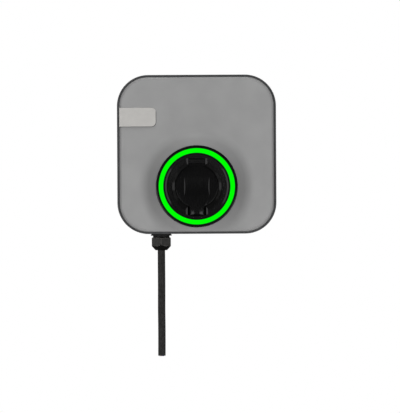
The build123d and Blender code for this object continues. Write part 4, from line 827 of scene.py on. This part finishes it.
def strandTree(coreCount):
    # copper strands packed 1 + 6 + 12 in each core, and the cores set on a circle
    tree = bpy.data.node_groups.new("copperStrands", "GeometryNodeTree")
    tree.interface.new_socket("Geometry", in_out="OUTPUT", socket_type="NodeSocketGeometry")
    for label, value in (("Strand Radius", 0.0002), ("Strand Length", 0.002), ("Core Circle", 0.0026)):
        socket = tree.interface.new_socket(label, in_out="INPUT", socket_type="NodeSocketFloat")
        socket.default_value = value
    for label in ("Place", "Turn"):
        tree.interface.new_socket(label, in_out="INPUT", socket_type="NodeSocketVector")
    tree.interface.new_socket("Material", in_out="INPUT", socket_type="NodeSocketMaterial")
    given, result = tree.nodes.new("NodeGroupInput"), tree.nodes.new("NodeGroupOutput")
    link = tree.links.new

    strand = addNode(tree, "GeometryNodeMeshCylinder", None, {"Vertices": 10})
    link(given.outputs["Strand Radius"], strand.inputs["Radius"])
    link(given.outputs["Strand Length"], strand.inputs["Depth"])
    gather = tree.nodes.new("GeometryNodeJoinGeometry")
    centre = addNode(tree, "GeometryNodeMeshLine", {"mode": "OFFSET"}, {"Count": 1})
    link(centre.outputs["Mesh"], gather.inputs["Geometry"])
    # how many strands each ring has, and its radius in strand radii
    for count, reach in ((6, 2.05), (12, 4.0)):
        ring = addNode(tree, "GeometryNodeMeshCircle", None, {"Vertices": count})
        wide = addNode(tree, "ShaderNodeMath", {"operation": "MULTIPLY"})
        link(given.outputs["Strand Radius"], wide.inputs[0])
        wide.inputs[1].default_value = reach
        link(wide.outputs[0], ring.inputs["Radius"])
        link(ring.outputs["Mesh"], gather.inputs["Geometry"])
    bundle = tree.nodes.new("GeometryNodeInstanceOnPoints")
    link(gather.outputs["Geometry"], bundle.inputs["Points"])
    link(strand.outputs["Mesh"], bundle.inputs["Instance"])
    cores = addNode(tree, "GeometryNodeMeshCircle", None, {"Vertices": coreCount})
    link(given.outputs["Core Circle"], cores.inputs["Radius"])
    placed = tree.nodes.new("GeometryNodeInstanceOnPoints")
    link(cores.outputs["Mesh"], placed.inputs["Points"])
    link(bundle.outputs["Instances"], placed.inputs["Instance"])
    moved = tree.nodes.new("GeometryNodeTransform")
    link(placed.outputs["Instances"], moved.inputs["Geometry"])
    link(given.outputs["Place"], moved.inputs["Translation"])
    link(given.outputs["Turn"], moved.inputs["Rotation"])
    real = tree.nodes.new("GeometryNodeRealizeInstances")
    link(moved.outputs["Geometry"], real.inputs["Geometry"])
    painted = tree.nodes.new("GeometryNodeSetMaterial")
    link(real.outputs["Geometry"], painted.inputs["Geometry"])
    link(given.outputs["Material"], painted.inputs["Material"])
    link(painted.outputs["Geometry"], result.inputs["Geometry"])
    tidyNodes(tree)
    return tree


def grow(name, tree, values):
    # runs a Geometry Nodes tree with its named inputs and keeps the plain mesh
    piece = newPiece(name, bpy.data.meshes.new(name))
    modifier = piece.modifiers.new(name, "NODES")
    modifier.node_group = tree
    for item in tree.interface.items_tree:
        if item.item_type == "SOCKET" and item.in_out == "INPUT" and item.name in values:
            modifier[item.identifier] = values[item.name]
    return plainMesh(piece)


cutCores = cutEnd(supplyCable)
cableFoot = supplyCable["route"][-1]
strandMiddle = cableFoot[2] - supplyCable["strandStick"] + supplyCable["strandLength"] / 2
cutStrands = grow("cutStrands", strandTree(supplyCable["cores"]), {
    "Strand Radius": supplyCable["strandRadius"],
    "Strand Length": supplyCable["strandLength"],
    "Core Circle": supplyCable["coreCircle"],
    "Place": (cableFoot[0], cableFoot[1], strandMiddle),
    "Turn": (0.0, 0.0, math.radians(90)),
    "Material": copper,
})
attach(cutStrands, "root")
print("cable end finished")


# floor, light and background

studio = {
    "floorLevel": -1.2, "floorSize": 4.0, "floorColour": (0.5, 0.5, 0.5), "floorRoughness": 0.9,
    "floorGlow": 0.72, "floorGloss": 0.05, "floorInGloss": 0.2,
    # brightness of the surroundings, and from where to where in the direction's y or z they change
    "ambientFront": 0.03, "ambientBehind": 0.8, "ambientRamp": (0.0, 0.4),
    "glossFront": 0.025, "glossBelow": 0.05, "glossAbove": 0.06, "glossBehind": 0.3,
    "belowRamp": (-0.7, 0.3), "aboveRamp": (0.3, 0.8), "behindRamp": (-0.08, 0.3),
    "aim": (0, -0.1, -0.05),
    "paleFaces": ("front_cover", "badge_plate"),
    # direction from the aim, distance, width, height, brightness of the lamp's face, what it lights,
    # and whether gloss shows it
    "lamps": {
        "keyLamp": ((0.0, -0.26, 0.97), 2.4, 0.7, 0.7, 14.0, "dark", False),
        "coverKeyLamp": ((0.0, -0.27, 0.96), 2.4, 0.7, 0.7, 11.2, "pale", True),
        "lowLamp": ((0.0, -0.26, -0.97), 1.1, 0.4, 0.4, 3.1, "pale", True),
        "coverLamp": ((0.0, -1.0, 0.0), 3.0, 4.0, 4.0, 1.59, "pale", True),
        "fillLamp": ((-0.35, -0.94, 0.0), 3.0, 1.2, 1.2, 11.5, "dark", False),
        "leftPanel": ((-0.87, -0.49, 0.0), 1.5, 0.83, 1.9, 0.75, "dark", True),
        "rightPanel": ((0.87, -0.49, 0.0), 1.5, 0.83, 1.9, 0.75, "dark", True),
        "leftLowPanel": ((-0.47, -0.82, -0.34), 1.5, 0.85, 0.8, 1.2, "dark", True),
        "rightLowPanel": ((0.47, -0.82, -0.34), 1.5, 0.85, 0.8, 1.2, "dark", True),
        "leftWallPanel": ((-0.99, -0.148, 0.0), 1.5, 0.29, 0.5, 0.6, "dark", True),
        "rightWallPanel": ((0.99, -0.148, 0.0), 1.5, 0.29, 0.5, 0.6, "dark", True),
    },
}


def placeFloor(look):
    half = look["floorSize"] / 2
    mesh = bpy.data.meshes.new("paleFloor")
    corners = [(-half, -half), (half, -half), (half, half), (-half, half)]
    mesh.from_pydata([(x, y, look["floorLevel"]) for x, y in corners], [], [(0, 1, 2, 3)])
    floor = newPiece("paleFloor", mesh)
    material, tree, shader = newFinish("paleFloor")
    shader.inputs["Roughness"].default_value = look["floorRoughness"]
    shader.inputs["Specular IOR Level"].default_value = 0.0
    shader.inputs["Emission Color"].default_value = (1, 1, 1, 1)
    rays = tree.nodes.new("ShaderNodeLightPath")
    seen = measure(tree, "MAXIMUM", rays.outputs["Is Camera Ray"], rays.outputs["Is Transmission Ray"])
    direct = measure(tree, "MULTIPLY", seen, look["floorGlow"])
    mirrored = measure(tree, "MULTIPLY", rays.outputs["Is Glossy Ray"], look["floorGloss"])
    tree.links.new(measure(tree, "ADD", direct, mirrored), shader.inputs["Emission Strength"])
    dull = tuple(value * look["floorInGloss"] for value in look["floorColour"])
    colour = blendColours(tree, rays.outputs["Is Glossy Ray"], look["floorColour"], dull)
    tree.links.new(colour, shader.inputs["Base Color"])
    # a camera below the floor looks through it
    surface = tree.nodes.new("ShaderNodeNewGeometry")
    below = measure(tree, "MULTIPLY", surface.outputs["Backfacing"], rays.outputs["Is Camera Ray"])
    seeThrough = tree.nodes.new("ShaderNodeBsdfTransparent")
    choice = tree.nodes.new("ShaderNodeMixShader")
    tree.links.new(below, choice.inputs[0])
    tree.links.new(shader.outputs[0], choice.inputs[1])
    tree.links.new(seeThrough.outputs[0], choice.inputs[2])
    tree.links.new(choice.outputs[0], tree.nodes["Material Output"].inputs["Surface"])
    tidyNodes(tree)
    mesh.materials.append(material)


def lightWorld(look):
    # white for the camera; gloss sees a pale wall behind, and little in front, above and below
    world = bpy.data.worlds.new("studioWorld")
    bpy.context.scene.world = world
    world.use_nodes = True
    tree = world.node_tree
    background = tree.nodes["Background"]
    background.inputs["Color"].default_value = (1, 1, 1, 1)
    rays = tree.nodes.new("ShaderNodeLightPath")
    direction = tree.nodes.new("ShaderNodeTexCoord")
    split = tree.nodes.new("ShaderNodeSeparateXYZ")
    tree.links.new(direction.outputs["Generated"], split.inputs[0])
    away, up = split.outputs["Y"], split.outputs["Z"]
    under = spread(tree, up, look["glossBelow"], 0.0, *look["belowRamp"])
    over = spread(tree, up, 0.0, look["glossAbove"], *look["aboveRamp"])
    front = measure(tree, "ADD", measure(tree, "ADD", under, over), look["glossFront"])
    behind = spread(tree, away, 0.0, look["glossBehind"], *look["behindRamp"])
    gloss = measure(tree, "MAXIMUM", front, behind)
    ambient = spread(tree, away, look["ambientFront"], look["ambientBehind"], *look["ambientRamp"])
    white = measure(tree, "MAXIMUM", rays.outputs["Is Camera Ray"], rays.outputs["Is Transmission Ray"])
    mirrored = measure(tree, "MULTIPLY", rays.outputs["Is Glossy Ray"], gloss)
    other = measure(tree, "SUBTRACT", 1.0, measure(tree, "MAXIMUM", white, rays.outputs["Is Glossy Ray"]))
    soft = measure(tree, "MULTIPLY", other, ambient)
    strength = measure(tree, "ADD", measure(tree, "MAXIMUM", white, mirrored), soft)
    tree.links.new(strength, background.inputs["Strength"])
    tidyNodes(tree)


def lightGroup(name, members, state):
    # the lamps that take this group light its members alone, or everything but them
    group = bpy.data.collections.new(name)
    for member in members:
        group.objects.link(nodes[member])
    for entry in group.collection_objects:
        entry.light_linking.link_state = state
    return group


def placeLamp(name, lamp, aim, groups):
    direction, distance, width, height, brightness, target, inGloss = lamp
    data = bpy.data.lights.new(name, "AREA")
    data.shape = "RECTANGLE"
    data.size, data.size_y = width, height
    data.energy = brightness * math.pi * width * height
    piece = bpy.data.objects.new(name, data)
    bpy.context.scene.collection.objects.link(piece)
    toLamp = Vector(direction).normalized()
    piece.location = Vector(aim) + distance * toLamp
    piece.rotation_mode = "QUATERNION"
    piece.rotation_quaternion = (-toLamp).to_track_quat("-Z", "Y")
    piece.visible_glossy = inGloss
    piece.visible_camera = False
    piece.light_linking.receiver_collection = groups[target]


placeFloor(studio)
lightWorld(studio)
lightGroups = {
    "pale": lightGroup("paleFaces", studio["paleFaces"], "INCLUDE"),
    "dark": lightGroup("allButPaleFaces", studio["paleFaces"], "EXCLUDE"),
}
for lampName, lampFacts in studio["lamps"].items():
    placeLamp(lampName, lampFacts, studio["aim"], lightGroups)
bpy.context.scene.view_settings.view_transform = "Standard"
print("studio lit")
